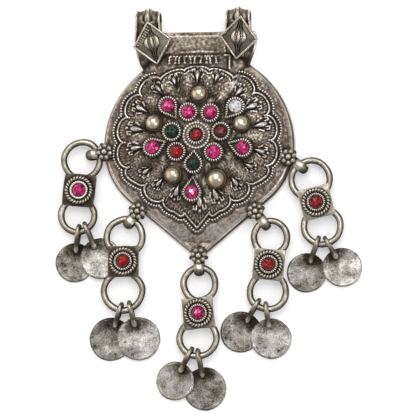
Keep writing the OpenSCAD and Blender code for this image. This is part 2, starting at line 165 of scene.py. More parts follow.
# The lozenges' flutes: place across, radius at the belly, rise and share of the length
FLUTES = [
    (0, 0.7, 0.5, 1.1), (-1.95, 0.92, 0.4, 1.0), (1.95, 0.86, 0.4, 1.0),
    (-1.0, 0.26, 0.2, 1.0), (1.0, 0.26, 0.2, 1.0),
]
# How far the feet of the settings are sunk in the dome
SUNK = 0.6
# The camera looks at this place from above, moved by this share to the right and to the foot
AIM = Vector((3.15 * MM, -23.0 * MM, 0))
CAMERA_SIDE = 0.11
SENSOR = 36


# Modelling helpers. Shapes are drawn in millimetres and brought to metres by deliver()

def only(*objects):
    """Selects these objects alone, the first one active"""
    if bpy.context.object and bpy.context.object.mode != "OBJECT":
        bpy.ops.object.mode_set(mode="OBJECT")
    bpy.ops.object.select_all(action="DESELECT")
    for item in objects:
        item.select_set(True)
    if objects:
        bpy.context.view_layer.objects.active = objects[0]


def linked(name, data):
    """An object of this mesh, curve, light or camera, in the scene"""
    item = bpy.data.objects.new(name, data)
    bpy.context.scene.collection.objects.link(item)
    return item


def from_faces(name, points, faces):
    """A mesh object of these points and faces"""
    mesh = bpy.data.meshes.new(name)
    mesh.from_pydata([tuple(p) for p in points], [], faces)
    return linked(name, mesh)


def face_outwards(item):
    """Merges doubles and turns every face outwards"""
    only(item)
    bpy.ops.object.mode_set(mode="EDIT")
    bpy.ops.mesh.select_all(action="SELECT")
    bpy.ops.mesh.remove_doubles(threshold=1e-4)
    bpy.ops.mesh.normals_make_consistent(inside=False)
    bpy.ops.object.mode_set(mode="OBJECT")
    return item


def sweep(name, rows, around):
    """A skin through rows of points: round an axis, or a tube along a path with its ends capped"""
    count, width = len(rows), len(rows[0])
    faces = []
    for i in range(count if around else count - 1):
        j = (i + 1) % count
        for k in range(width - 1 if around else width):
            m = (k + 1) % width
            faces.append((i * width + k, i * width + m, j * width + m, j * width + k))
    if not around:
        faces.append(tuple(range(width)))
        faces.append(tuple(reversed(range((count - 1) * width, count * width))))
    return face_outwards(from_faces(name, [p for row in rows for p in row], faces))


def wire(name, path, radii, closed, sides):
    """A round wire along a path, its radius given at each point or once"""
    curve = bpy.data.curves.new(name, "CURVE")
    curve.dimensions = "3D"
    curve.bevel_depth = 1.0
    curve.bevel_resolution = sides // 2 - 2
    curve.use_fill_caps = True
    spline = curve.splines.new("POLY")
    spline.points.add(len(path) - 1)
    spline.use_cyclic_u = closed
    for i, place in enumerate(path):
        spline.points[i].co = (*place, 1)
        spline.points[i].radius = radii[i] if isinstance(radii, list) else radii
    only(linked(name, curve))
    bpy.ops.object.convert(target="MESH")
    return face_outwards(bpy.context.object)


def copies(name, pattern, places):
    """One mesh of copies of a modelled pattern, which is then removed"""
    part = bmesh.new()
    part.from_mesh(pattern.data)
    whole = bmesh.new()
    for place in places:
        verts = {v: whole.verts.new(place @ v.co) for v in part.verts}
        for face in part.faces:
            whole.faces.new([verts[v] for v in face.verts])
    mesh = bpy.data.meshes.new(name)
    whole.to_mesh(mesh)
    part.free()
    whole.free()
    bpy.data.objects.remove(pattern)
    return linked(name, mesh)


def joined(name, items):
    """One object of several"""
    only(*items)
    bpy.ops.object.join()
    item = bpy.context.object
    item.name = item.data.name = name
    return item


def applied(item):
    """Applies the modifiers in order"""
    only(item)
    for modifier in list(item.modifiers):
        bpy.ops.object.modifier_apply(modifier=modifier.name)
    return item


def bevelled(item, width, angle=30):
    """Rounds the sharp edges"""
    bevel = item.modifiers.new("rounding", "BEVEL")
    bevel.width = width
    bevel.segments = 2
    bevel.limit_method = "ANGLE"
    bevel.angle_limit = radians(angle)
    return applied(item)


def worked(item, scale, amount, seed=0):
    """Moves the surface a little, as a hand-made thing's is"""
    shift = Vector((seed * 7.3, seed * 3.1, seed * 1.7))
    for v in item.data.vertices:
        v.co += noise.noise_vector(v.co / scale + shift) * amount
    return item


def deliver(item, name, finish, nodes=(), smooth=40, place=Matrix()):
    """Brings a piece to metres, finishes its shading and lets it ride on the frame"""
    only(item)
    bpy.ops.object.transform_apply(location=True, rotation=True, scale=True)
    item.data.transform(place)
    item.data.transform(Matrix.Scale(MM, 4))
    item.data.update()
    item.name = item.data.name = name
    item.data.materials.clear()
    item.data.materials.append(bpy.data.materials[finish])
    bpy.ops.object.shade_smooth_by_angle(angle=radians(smooth))
    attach(item, BODY)
    if nodes:
        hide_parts(*nodes)


def at(x, y, z=0.0, turn=0.0):
    """The matrix of a place and a turn about Z, in degrees"""
    return Matrix.Translation((x, y, z)) @ Matrix.Rotation(radians(turn), 4, "Z")


def on_arc(r, turn, x=0.0, y=0.0):
    """A point on a circle, its turn in degrees"""
    return (x + r * cos(radians(turn)), y + r * sin(radians(turn)))


# The plate's outline and its relief

def plate_outline():
    """Corner points of the outline, anticlockwise from the right"""
    flank_x = PLATE_R - FLANK_R
    tip_turn = degrees(acos(FLANK_R / hypot(flank_x, TIP_Y)))
    flank_end = degrees(atan2(-TIP_Y, -flank_x)) + tip_turn
    step = 2
    line = [on_arc(PLATE_R, a) for a in range(0, 58 + 1, step)]
    line += NECK_RIGHT + NECK_LEFT
    line += [on_arc(PLATE_R, a) for a in range(126, 180, step)]
    flank = [on_arc(FLANK_R, flank_end * i / 24, flank_x) for i in range(25)]
    line += [(-x, y) for x, y in flank]
    line += [(0.0, -TIP_Y)]
    line += list(reversed(flank))[:-1]
    return line


def rim_radius(turns):
    """How far the outline is from the centre in each direction, in radians"""
    line = np.array(plate_outline())
    share = np.linspace(0, 1, 40, endpoint=False)[:, None, None]
    points = (line + (np.roll(line, -1, axis=0) - line) * share).reshape(-1, 2)
    around = np.arctan2(points[:, 1], points[:, 0]) % (2 * np.pi)
    order = np.argsort(around)
    return np.interp(turns, around[order], np.hypot(*points.T)[order], period=2 * np.pi)


def dome(r):
    """Height of the domed front at a distance from the centre"""
    return WALL_H + EDGE_RISE + DOME_H * np.maximum(0, 1 - (np.asarray(r) / PLATE_R) ** 2)


def dome_at(x, y):
    return float(dome(hypot(x, y)))


def bump(distance, width):
    """A smooth rise of height one"""
    return np.exp(-(distance / width) ** 2)


def step_up(value, edge, width):
    """A smooth step from zero to one"""
    share = np.clip((value - edge) / width + 0.5, 0, 1)
    return share * share * (3 - 2 * share)


def along(x, y, start, end):
    """Distance from the line between two points"""
    start, end = np.array(start), np.array(end)
    way = end - start
    share = ((x - start[0]) * way[0] + (y - start[1]) * way[1]) / float(way @ way)
    share = np.clip(share, 0, 1)
    return np.hypot(x - start[0] - share * way[0], y - start[1] - share * way[1])


def flattened(turn):
    """Where the ring of scallops is drawn in, on both sides of its point, from zero to one"""
    from_point = np.abs(turn - 180)
    return step_up(-from_point, -62, 16) * step_up(from_point, 14, 9)


def lobe_line(turn):
    """Radius of the scalloped line in a direction, in degrees from the top, clockwise"""
    place = turn / PITCH + 0.5
    lobe = np.floor(place) % LOBES
    u = place - np.floor(place)
    top = np.where(lobe == LOBES // 2, POINT_R, LOBE_R)
    top = np.where((lobe < 2) | (lobe == LOBES - 1), TOP_R, top)
    arch = np.sqrt(np.clip(1 - (2 * u - 1) ** 2, 0, 1))
    arch = np.where(lobe == LOBES // 2, (1 - np.abs(2 * u - 1)) ** 1.15, arch)
    return CUSP_R + (top - CUSP_R) * arch - DRAWN_IN * flattened(turn), lobe


def from_scallops(x, y):
    """Distance from the scalloped line, negative inside it, and whether its lobe is beaded"""
    turns = np.arange(0, 360, 0.2)
    line, _ = lobe_line(turns)
    tree = kdtree.KDTree(len(turns))
    for k, (turn, r) in enumerate(zip(turns, line)):
        tree.insert((*on_arc(r, 90 - turn, *RIDGE), 0), k)
    tree.balance()
    far = np.array([tree.find((a, b, 0))[2] for a, b in zip(x.ravel(), y.ravel())]).reshape(x.shape)
    dx, dy = x - RIDGE[0], y - RIDGE[1]
    line, lobe = lobe_line((90 - np.degrees(np.arctan2(dy, dx))) % 360)
    beaded = ~((lobe < 2) | (lobe == LOBES - 1))
    return np.where(np.hypot(dx, dy) < line, -far, far), beaded


def relief(x, y):
    """Height of the chasing over the dome, in millimetres"""
    away, beaded = from_scallops(x, y)
    height = 0.36 * bump(away, 0.26) - 0.1 * bump(away - 0.7, 0.28) - 0.06 * bump(away + 0.75, 0.4)
    height += np.where(beaded, -0.15 * bump(away - BEAD_LINE, 0.5) - 0.08 * bump(away - 2.5, 0.3), 0)
    height += np.where(beaded, 0, 0.22 * bump(away + 1.2, 0.25))
    # a row of punched marks inside the ridge
    punched = np.cos(190 * np.arctan2(y - RIDGE[1], x - RIDGE[0]))
    height += 0.09 * punched * bump(away + 1.2, 0.3)
    # soft bulges between the buds, which end at the settings
    bx, by = x - BUD_RING[0], y - BUD_RING[1]
    br = np.hypot(bx, by)
    wave = 0.5 - 0.5 * np.cos(np.radians((90 - np.degrees(np.arctan2(by, bx))) * LOBES))
    height += (0.6 * wave - 0.25) * step_up(br, 15.5, 4) * step_up(-br, -25.0, 3)
    for i in range(LOBES):
        size = 1 + 0.18 * sin(i * 5.1)
        a = radians(90 + PITCH * i + 2.2 * sin(i * 2.3))
        far = BUD_RING[2] - 0.85 * DRAWN_IN * float(flattened(PITCH * i))
        s = (bx * cos(a) + by * sin(a) - far) / size + 0.5 * sin(i * 1.7)
        t = (-bx * sin(a) + by * cos(a)) / size + 0.12 * s * sin(i * 3.1)
        near = (np.abs(s) < 6.5) & (np.abs(t) < 4)
        # a drop, round outside and running to a point inside, between two curled leaves
        kernel = np.hypot((s + 1.2) / 2.5, t / (0.35 + 0.75 * step_up(s, -1.4, 3.6)))
        bud = 1.5 * np.sqrt(np.clip(1 - kernel ** 2, 0, 1))
        for side in (-1, 1):
            for start, end, rise, width in LEAVES:
                bud = np.maximum(bud, rise * bump(along(s, side * t, start, end), width))
        bud = np.maximum(bud, 0.4 * bump(np.hypot(s - 2.4, t), 0.4))
        height = np.where(near, height + bud, height)
    return height


def neck_relief(x, y):
    """The smooth plate above the neck's step, the ribs below it and the short bar"""
    across = step_up(x, -13.6, 0.8) * step_up(-x, -10.2, 0.8)
    height = 0.16 * step_up(y, 34.5, 1.4) * across
    height -= 0.3 * bump(y - 34.2, 0.32) * step_up(x, -6.5, 1.5) * step_up(-x, -8.8, 1.0)
    ribs = np.zeros_like(x)
    for i in range(10):
        middle = -10.9 + 1.97 * i + 0.3 * sin(i * 2.1)
        tall = 0.42 + 0.3 * sin(i * 4.3)
        lean = 0.35 * sin(i * 1.3)
        ribs = np.maximum(ribs, tall * bump(along(x, y, (middle, 31.4), (middle + lean, 33.1)), 0.34))
        ribs = np.maximum(ribs, 0.75 * bump(np.hypot(x - middle, y - 30.9), 0.42))
        for side in (-0.5, 0.5):
            ribs = np.maximum(ribs, 0.3 * bump(np.hypot(x - middle - side, y - 33.4), 0.28))
    height += ribs
    height = np.maximum(height, 0.55 * bump(along(x, y, (11.7, 28.6), (11.8, 33.2)), 0.36))
    height = np.maximum(height, 0.3 * bump(along(x, y, (9.8, 33.7), (11.7, 33.7)), 0.28))
    return height


def plate_mesh():
    """The plate: rings of points from the back's middle, up the wall and over the dome"""
    count = 720
    turns = np.linspace(0, 2 * np.pi, count, endpoint=False)
    far = rim_radius(turns)
    ahead, aside = np.cos(turns), np.sin(turns)
    # the wall slopes inwards, but hardly at the head of the neck
    rim = far * (WALL_IN + (0.993 - WALL_IN) * step_up(far * aside, 39, 5))
    flat = np.zeros(count)
    rings = [(far * f, flat, False) for f in (0.35, 0.7, 0.985)]
    rings += [(far * 0.997, flat + 0.15, False), (far, flat + 0.5, False)]
    rings += [(far + (rim - far) * z / WALL_H, flat + z, False) for z in (1.0, 1.6, 2.2, 2.8)]
    inner = rim - 0.9
    for t in (0.25, 0.5, 0.75):
        low, corner, high = (1 - t) ** 2, 2 * t * (1 - t), t * t
        rings.append((low * (far + (rim - far) * 0.8) + corner * rim + high * inner,
                      low * 2.8 + corner * dome(rim) + high * dome(inner), False))
    rings += [(inner * (1 - t) + far * 0.4 * t, None, True) for t in np.linspace(0, 1, 80)]
    rings += [(far * f, None, True) for f in np.linspace(0.38, 0.04, 12)]
    radii = np.array([r for r, _, _ in rings])
    x, y = radii * ahead, radii * aside
    bare = dome(radii)
    inward = rim - radii
    edge = step_up(inward, 1.9, 1.2)
    carved = relief(x, y) * edge
    neck = np.where(y > NECK_FOOT, neck_relief(x, y), 0)
    carved += neck * np.where(y > 33.8, step_up(inward, 1.4, 0.8), edge)
    points = [(0.0, 0.0, 0.0)]
    for k, (_, z, chased) in enumerate(rings):
        height = bare[k] + carved[k] if chased else z
        points += list(zip(x[k], y[k], height))
    points.append((0.0, 0.0, float(dome(0))))
    faces = [(0, 1 + (i + 1) % count, 1 + i) for i in range(count)]
    for k in range(len(rings) - 1):
        low, high = 1 + k * count, 1 + (k + 1) * count
        for i in range(count):
            j = (i + 1) % count
            faces.append((low + i, low + j, high + j, high + i))
    last = len(points) - 1
    low = 1 + (len(rings) - 1) * count
    faces += [(low + i, low + (i + 1) % count, last) for i in range(count)]
    item = from_faces("plate", points, faces)
    for v in item.data.vertices:
        if v.co.z > WALL_H:
            inside = 1.0 if v.co.xy.length < CUSP_R and v.co.y < NECK_FOOT else 0.4
            v.co.z += 0.14 * noise.noise(v.co / 5) + 0.06 * noise.noise(v.co / 1.4)
            v.co.z += 0.11 * inside * noise.noise(v.co / 0.6)
    return item


def halo(x, y):
    """How dark the plate is painted round the settings, the bosses, the loops and the beads, as shade
    and tarnish where they meet it, from zero to one
    """
    dark = np.zeros_like(x)
    for _, sx, sy, _, reach, turn, _ in SETS:
        way = np.arctan2(y - sy, x - sx) - radians(turn)
        away = np.hypot(x - sx, y - sy) - outline_reach(way, BEZEL_R, reach)
        dark = np.maximum(dark, bump(np.maximum(away, 0), 1.1))
    for bx, by, r in BOSSES:
        dark = np.maximum(dark, bump(np.maximum(np.hypot(x - bx, y - by) - r, 0), 1.2))
    for lx, ly, _, _ in LOOPS:
        dark = np.maximum(dark, 0.8 * bump(np.maximum(np.hypot(x - lx, y - ly) - 3.2, 0), 0.9))
    away, beaded = from_scallops(x, y)
    dark = np.maximum(dark, 0.75 * bump(away - BEAD_LINE, 0.6) * beaded)
    # the border outside the beads is lighter, most of all towards the point and less on the right;
    # inside the ridge the plate is darker, most of all towards the top
    border_lift = (0.04 + 0.5 * step_up(-y, 8, 24) * (1 - 0.8 * step_up(x, 20, 10))) * step_up(away, 3.0, 1.0)
    return dark - border_lift + (0.05 + 0.12 * step_up(y, 14, 8)) * step_up(-away, 1.0, 1.0)


def outline_reach(turn, r, reach):
    """Distance to a round or drop-shaped outline in a direction, in radians"""
    if reach == 0:
        return np.full_like(np.asarray(turn, dtype=float), r)
    turn = np.abs((np.asarray(turn) + np.pi) % (2 * np.pi) - np.pi)
    side = acos(r / reach)
    return np.where(turn < side, r / np.cos(np.minimum(side - turn, 1.4)), r)


def plate_tarnish_and_shade(q):
    """How dark the plate is at its points: tarnish in hollows, painted shade along the rim's crest and
    down the wall, painted shade and tarnish round what is set on it, and a little painted light above
    the neck's step
    """
    x, y, z = q.T
    far = np.hypot(x, y)
    raised = np.clip(z - dome(far), -0.5, 1.4)
    edge = rim_radius(np.arctan2(y, x)) - far
    dark = (0.42 * halo(x, y) - 0.22 * raised) * (z > WALL_H)
    # painted shade on the rounded crest of the rim and down the wall below it; a little painted light on
    # the plate above the neck's step
    crest = bump(edge - np.where(y > 39, 0.6, 1.7), 0.6)
    return dark + 0.5 * crest + 0.2 * step_up(-edge, -1.3, 0.4) - 0.015 * step_up(y, 34.5, 1.5)


def values(items, key, width, kind=float):
    """A row of numbers for each vertex or edge"""
    found = np.empty(len(items) * width, dtype=kind)
    items.foreach_get(key, found)
    return found.reshape(-1, width)


def mark_wear_and_shade(item, passes, gain, base, low=0.0, dark=None):
    """Stores as the attribute wear how far each point stands out of its surroundings, with painted
    shade: low darkens the lower part of the piece, and dark adds the piece's own darkening
    """
    mesh = item.data
    place = values(mesh.vertices, "co", 3)
    way = values(mesh.vertices, "normal", 3)
    edges = values(mesh.edges, "vertices", 2, np.int64)
    count = len(place)
    links = np.bincount(edges.ravel(), minlength=count)[:, None] + 1
    soft = place
    for _ in range(passes):
        total = soft.copy()
        for axis in range(3):
            for here, there in ((0, 1), (1, 0)):
                total[:, axis] += np.bincount(edges[:, here], soft[edges[:, there], axis], count)
        soft = total / links
    value = base + gain * ((place - soft) * way).sum(axis=1)
    # painted shade: the lower part of each piece is darker, where its sides turn away from the light
    if low:
        height = (place[:, 2] - place[:, 2].min()) / np.ptp(place[:, 2])
        value -= low * (1 - height) ** 0.7
    if dark is not None:
        value -= dark(place)
    layer = mesh.attributes.new("wear", "FLOAT", "POINT")
    layer.data.foreach_set("value", np.clip(value, 0, 1).astype(np.float32))
    return item


# Parts of the plate that are soldered on

def grain(r, detail=2):
    """A little ball, slightly flattened as a soldered grain is"""
    bpy.ops.mesh.primitive_ico_sphere_add(subdivisions=detail, radius=r)
    item = bpy.context.object
    bpy.ops.transform.resize(value=(1, 1, 0.92))
    bpy.ops.object.transform_apply(location=False, rotation=False, scale=True)
    return worked(item, 0.7, 0.06 * r)


def spaced(points, pitch):
    """Points at an even pitch along a line, each with its direction in degrees"""
    points = np.array(points)
    steps = np.diff(points, axis=0)
    way = np.concatenate([[0], np.cumsum(np.hypot(*steps.T))])
    count = max(2, round(way[-1] / pitch))
    found = []
    for share in (np.arange(count) + 0.5) / count:
        here = share * way[-1]
        k = min(len(steps) - 1, int(np.searchsorted(way, here) - 1))
        x, y = (np.interp(here, way, line) for line in points.T)
        found.append((x, y, degrees(atan2(steps[k][1], steps[k][0]))))
    return found


def scallop_beads(r):
    """The beaded line outside the scalloped ridge"""
    turns = np.arange(30.5, 330, 0.5)
    reach, _ = lobe_line(turns)
    steps = np.arange(0.4, 5.0, 0.08)[:, None]
    ways = np.radians(90 - turns)
    x = RIDGE[0] + (reach + steps) * np.cos(ways)
    y = RIDGE[1] + (reach + steps) * np.sin(ways)
    away, _ = from_scallops(x, y)
    first = np.argmax(away > BEAD_LINE, axis=0)
    line = [(x[k, i], y[k, i]) for i, k in enumerate(first)]
    places = []
    for px, py, turn in spaced(line, 1.03):
        size = 1 + 0.2 * noise.noise(Vector((px, py, 0)) * 1.3)
        shape = Matrix.Diagonal((size * 0.98, size, size, 1))
        places.append(at(px, py, dome_at(px, py) + 0.06, turn) @ shape)
    return copies("scallop_beads", grain(r), places)


def turned(name, profile, sides, change=None):
    """A turned shape: a profile of radius and height, from one end of the axis to the other"""
    rows = []
    for i in range(sides):
        a = 2 * pi * i / sides
        row = []
        for r, z in profile:
            if change:
                r = change(a, r)
            row.append((r * cos(a), r * sin(a), z))
        rows.append(row)
    return sweep(name, rows, True)


def boss(x, y, r):
    """A polished ball in a small collar, dented a little by wear"""
    profile = [(0, -1.2), (r * 0.96, -1.2), (r * 1.06, -0.5), (r * 1.04, -0.25)]
    profile += [on_arc(r, a) for a in range(-4, 90, 6)]
    item = turned("boss", profile + [(0, r)], 48)
    return item, at(x, y, dome_at(x, y) + 0.7)


def notches(turns, r, reach, pitch):
    """How deep the rim is notched in each direction, from zero to one"""
    fine = np.linspace(0, 2 * np.pi, 1441)
    far = outline_reach(fine, r, reach)
    steps = np.hypot(np.diff(far * np.cos(fine)), np.diff(far * np.sin(fine)))
    way = np.concatenate([[0], np.cumsum(steps)])
    teeth = round(way[-1] / pitch)
    here = np.interp(np.asarray(turns) % (2 * np.pi), fine, way)
    return (0.5 + 0.5 * np.cos(2 * np.pi * teeth * here / way[-1])) ** 2.2


def toothed_setting(height, r, reach, pitch, bite=1.0):
    """A cup with a toothed rim, round or with a point; its foot is at zero"""
    turns = np.linspace(0, 2 * np.pi, 288, endpoint=False)
    far = outline_reach(turns, r, reach)
    notch = notches(turns, r, reach, pitch)
    floor = height - SET_DEPTH
    # inset from the outline, height and how deep the notches bite
    profile = [
        (0.04, 0.0, 0), (0.0, height - 1.3, 0.1), (0.0, height - 0.8, 0.8),
        (0.06, height - 0.4, 1.0), (0.22, height - 0.1, 1.0), (0.5, height, 1.0),
        (0.8, height - 0.08, 1.0), (1.0, height - 0.3, 0.9), (1.08, height - 0.6, 0.3),
        (1.1, floor - 0.05, 0), (r * 0.8, floor - 0.1, 0),
    ]
    rows = []
    for turn, wide, cut in zip(turns, far, notch):
        lean = 1 if reach == 0 else min(1.5, wide / r)
        row = [(0.0, 0.0, 0.0)]
        for inset, z, bitten in profile:
            out = wide - inset * lean - 0.3 * bite * bitten * cut
            row.append((out * cos(turn), out * sin(turn), z - 0.62 * bite * bitten * cut))
        row.append((0.0, 0.0, floor - 0.1))
        rows.append(row)
    item = sweep("setting", rows, True)

    # painted shade in the notches between the teeth, in the cup under the stone and at the foot
    def shade(q):
        turn = np.arctan2(q[:, 1], q[:, 0])
        inset = outline_reach(turn, r, reach) - np.hypot(q[:, 0], q[:, 1])
        bitten = notches(turn, r, reach, pitch) * step_up(q[:, 2], height - 1.5, 0.5)
        deep = step_up(inset, 1.12, 0.16)
        foot = step_up(-q[:, 2], 1.0 - height, 0.5)
        return 1.1 * bite * bitten + 0.85 * deep + 0.6 * foot

    return mark_wear_and_shade(item, 2, 1.5, 1.0, 0.0, shade)


def centre_collar():
    """The beaded collar round the middle setting, on its own low step"""
    x, y = SETS[0][1], SETS[0][2]
    z = dome_at(x, y)
    # painted shade on the lower sides of the beads
    beads = mark_wear_and_shade(copies("beads", grain(0.5), [
        at(*on_arc(4.7, 360 * i / 27, x, y), z + 0.95) for i in range(27)
    ]), 2, 4.0, 0.75, 0.5)
    profile = [(0, -0.6), (5.1, -0.6), (5.2, 0.4), (5.0, 0.75), (3.4, 0.8), (0, 0.8)]
    step = turned("step", profile, 64)
    step.data.transform(at(x, y, z))
    # the step is painted dark, as the shade under the beads
    mark_wear_and_shade(step, 1, 1.0, 0.12)
    return joined("centre_collar", [step, beads])


def rosette(i, r):
    """Grains soldered on a round seat over the loop's root"""
    x, y, turn, _ = LOOPS[i]
    seat_z = WALL_H + 2.1
    seat = turned("seat", [(0, -2.2), (2.5, -2.2), (2.8, -0.8), (2.5, -0.2), (0, 0.1)], 32)
    seat.data.transform(at(x, y, seat_z, turn))
    # the seat is painted dark, as the shade between the grains
    mark_wear_and_shade(seat, 1, 1.0, 0.0)
    # seven round a middle one, and five lower ones that leave the loop free
    places = [at(*on_arc(2.15, turn + 360 * k / 7, x, y), seat_z + 0.02) for k in range(7)]
    places.append(at(x, y, seat_z + 0.6) @ Matrix.Scale(1.05, 4))
    for k in range(1, 6):
        place = at(*on_arc(2.8, turn + 360 * (k + 0.5) / 7, x, y), seat_z - 1.1)
        places.append(place @ Matrix.Scale(0.9, 4))

    # painted shade on the lower grains, and through low on the lower part of them all
    def shade(q):
        return 0.3 * step_up(-q[:, 2], 0.25 - seat_z, 1.5)

    grains = mark_wear_and_shade(copies("grains", grain(r, 3), places), 2, 2.0, 0.97, 0.75, shade)
    return joined("rosette", [seat, grains])


def loop_strap(i):
    """The strap loop that carries a drop, open round the ring's wire"""
    x, y, turn, reach = LOOPS[i]
    inside = WIRE_R + 0.35
    thick = 1.1
    end = reach - inside - thick
    middle = inside + thick / 2
    # the upper half starts low, under the grains
    path = [(-1.4, 0.9), (1.0, 0.9), (2.2, 1.1), (end * 0.45 + 1.1, middle * 0.8)]
    path += [on_arc(middle, 90 - a, end) for a in range(0, 181, 9)]
    path += [(0.2, -middle), (-1.4, -middle)]
    rows = []
    for k, (u, w) in enumerate(path):
        before, after = path[max(0, k - 1)], path[min(len(path) - 1, k + 1)]
        way = Vector((after[0] - before[0], after[1] - before[1])).normalized()
        side = Vector((-way.y, way.x))
        share = max(0.0, min(1.0, (u - 0.3) / max(0.5, end + middle)))
        wide = 1.75 - 0.2 * share + 0.25 * sin(3.1 * share)
        section = [
            (-wide, -0.12), (-wide * 0.86, 0.16), (-wide * 0.5, 0.42), (0, 0.56), (wide * 0.5, 0.42),
            (wide * 0.86, 0.16), (wide, -0.12), (wide * 0.92, -0.4), (wide * 0.6, -thick / 2),
            (-wide * 0.6, -thick / 2), (-wide * 0.92, -0.4),
        ]
        rows.append([(u + side.x * d, v, w + side.y * d) for v, d in section])
    item = sweep("loop", rows, False)
    item.data.transform(at(x, y, RING_Z, turn))
    # painted shade on the strap's lower parts
    return mark_wear_and_shade(item, 2, 3.0, 0.40, 0.9)


# The bails

def bail_strap(x, gem_x):
    """A strap bent round the cord channel, with a raised rib, borders and stamped hollows"""
    slope = tan(radians(GEM_SLOPE))
    r = BORE_R + 0.05
    # each step of the path: y, z, the direction in which the strap grows thick
    path = [(NECK_Y + 0.25, BAIL_Z - r, -90), (NECK_Y + 1.6, BAIL_Z - r, -90)]
    path += [(*on_arc(r, a, BAIL_Y, BAIL_Z), a) for a in range(-96, 97, 4)]
    bent = len(path)
    top_y, top_z, _ = path[-1]
    for k in range(1, 41):
        y = top_y - (top_y - STRAP_END_Y) * k / 40
        path.append((y, top_z + 0.02 - (top_y - y) * slope, 90 + GEM_SLOPE))
    across = np.linspace(-1, 1, 61)
    rows = []
    for k, (y, z, turn) in enumerate(path):
        out = on_arc(1, turn)
        bend = exp(-((turn - 12) / 60) ** 2) if k < bent else 0.2
        low = max(0.0, (46.5 - y) / 8.0) if k >= bent else 0.0
        # the end runs out as a tongue under the lozenge
        tongue = float(step_up(-y, -37.2, 3.4)) if k >= bent else 0.0
        half = STRAP_W / 2 * (1 + 0.12 * min(1.0, low)) * (1 - 0.7 * tongue)
        middle = x + (gem_x - x) * 1.1 * tongue
        outer, inner = [], []
        for u in across:
            thick = 0.5 + 1.05 * bend * (1 - abs(u)) ** 1.1
            stamped = 0.5 + 0.5 * cos((y - 46.8 + (z - 8) * 0.6) * 2.1)
            rib = exp(-(u / (0.12 + 0.16 * stamped)) ** 4)
            thick += 0.42 * rib + 0.32 * exp(-((abs(u) - 0.92) / 0.09) ** 2)
            thick -= 0.26 * exp(-((abs(u) - 0.55) / 0.24) ** 4)
            thick -= 0.3 * stamped * exp(-((abs(u) - 0.3) / 0.14) ** 2)
            if k < 6:
                thick = max(0.25, min(thick, z - 0.12))
            outer.append((middle + u * half, y + out[0] * thick, max(0.12, z + out[1] * thick)))
            inner.append((middle + u * half, y, z))
        rows.append(outer + list(reversed(inner)))
    return sweep("strap", rows, False)


def rhombus_side(w, l, k, inset):
    """Points from one corner of the diamond to the next; corners run from the top, clockwise"""
    high, wide = l / 2 - inset * 1.5, w / 2 - inset * 1.3
    corners = [(0, high), (wide, 0), (0, -high), (-wide, 0)]
    (ax, ay), (bx, by) = corners[k], corners[(k + 1) % 4]
    return [(ax + (bx - ax) * t / 20, ay + (by - ay) * t / 20) for t in range(21)]


def diamond(side, w, l):
    """The lozenge on the strap: plate, wire border, beads and the fluted bud inside"""
    top = 0.9
    bpy.ops.mesh.primitive_cylinder_add(vertices=4, radius=1, depth=top)
    base = bpy.context.object
    base.data.transform(Matrix.Diagonal((w / 2, l / 2, 1, 1)) @ Matrix.Translation((0, 0, top / 2)))
    bevelled(base, 0.14)
    mark_wear_and_shade(base, 1, 0.5, 0.12)
    border = [(px, py, top + 0.3) for k in range(4) for px, py in rhombus_side(w, l, k, 0.45)[:-1]]
    # painted shade on the lower sides of the border wire
    parts = [base, mark_wear_and_shade(wire("border", border, 0.44, True, 10), 1, 1.0, 0.9, 0.6)]
    beads = []
    for k, inset, lift in BEAD_ROWS[side]:
        for px, py, turn in spaced(rhombus_side(w, l, k, inset), 0.98):
            beads.append(at(px, py, top + lift, turn) @ Matrix.Diagonal((0.72, 1.2, 1.0, 1)))
    # painted shade on the lower sides of the beads
    parts.append(mark_wear_and_shade(copies("beads", grain(0.44), beads), 2, 2.0, 0.75, 0.6))
    half, ends = l * 0.4, 0.26
    for x, thick, rise, share in FLUTES:
        path, radii = [], []
        for t in np.linspace(-1, 1, 29):
            belly = exp(-((t - 0.05) / 0.4) ** 2)
            path.append((x * (0.3 + 0.8 * belly), t * half * share, top + rise * belly))
            radii.append(ends + (thick - ends) * belly)
        # painted shade on the flutes' lower sides, dark between them
        parts.append(mark_wear_and_shade(wire("ridge", path, radii, False, 14), 1, 1.0, 1.2, 1.9))
    return joined("diamond", parts)


def diamond_place(row):
    """Where a bail's diamond lies, and how it leans"""
    _, _, gx, gy, _, _, turn = row
    z = BAIL_Z + BORE_R + STRAP_T - (BAIL_Y - gy) * tan(radians(GEM_SLOPE)) - 0.2
    lean = Matrix.Rotation(radians(GEM_SLOPE), 4, "X")
    return Matrix.Translation((gx, gy, z)) @ lean @ Matrix.Rotation(radians(turn), 4, "Z")


# The drops

def ring(x, y, d, seed):
    """A ring of round wire, bent by hand and closed with a soldered joint"""
    r = d / 2 - WIRE_R
    path, radii = [], []
    joint = 1.2 + seed * 0.9
    for i in range(96):
        a = 2 * pi * i / 96
        far = r + 0.34 * noise.noise(Vector((cos(a), sin(a), seed * 2.7)) * 1.2)
        path.append((x + far * cos(a), y + far * sin(a), RING_Z))
        worn = noise.noise(Vector((cos(a), sin(a), seed)) * 2.5)
        gap = cos((a - joint) / 2) ** 40
        radii.append(WIRE_R * (0.96 + 0.07 * worn + 0.05 * gap))
    # painted shade along the wire's lower sides, leaving its top bright
    return mark_wear_and_shade(wire("ring", path, radii, True, 20), 1, 0.5, 1.02, 1.9)


def square_place(drop):
    """Where a drop's square lies, between the two rings"""
    x1, y1, _, x2, y2, _, share, turn = drop
    return at(x1 + (x2 - x1) * share, y1 + (y2 - y1) * share, SQUARE_Z, turn)


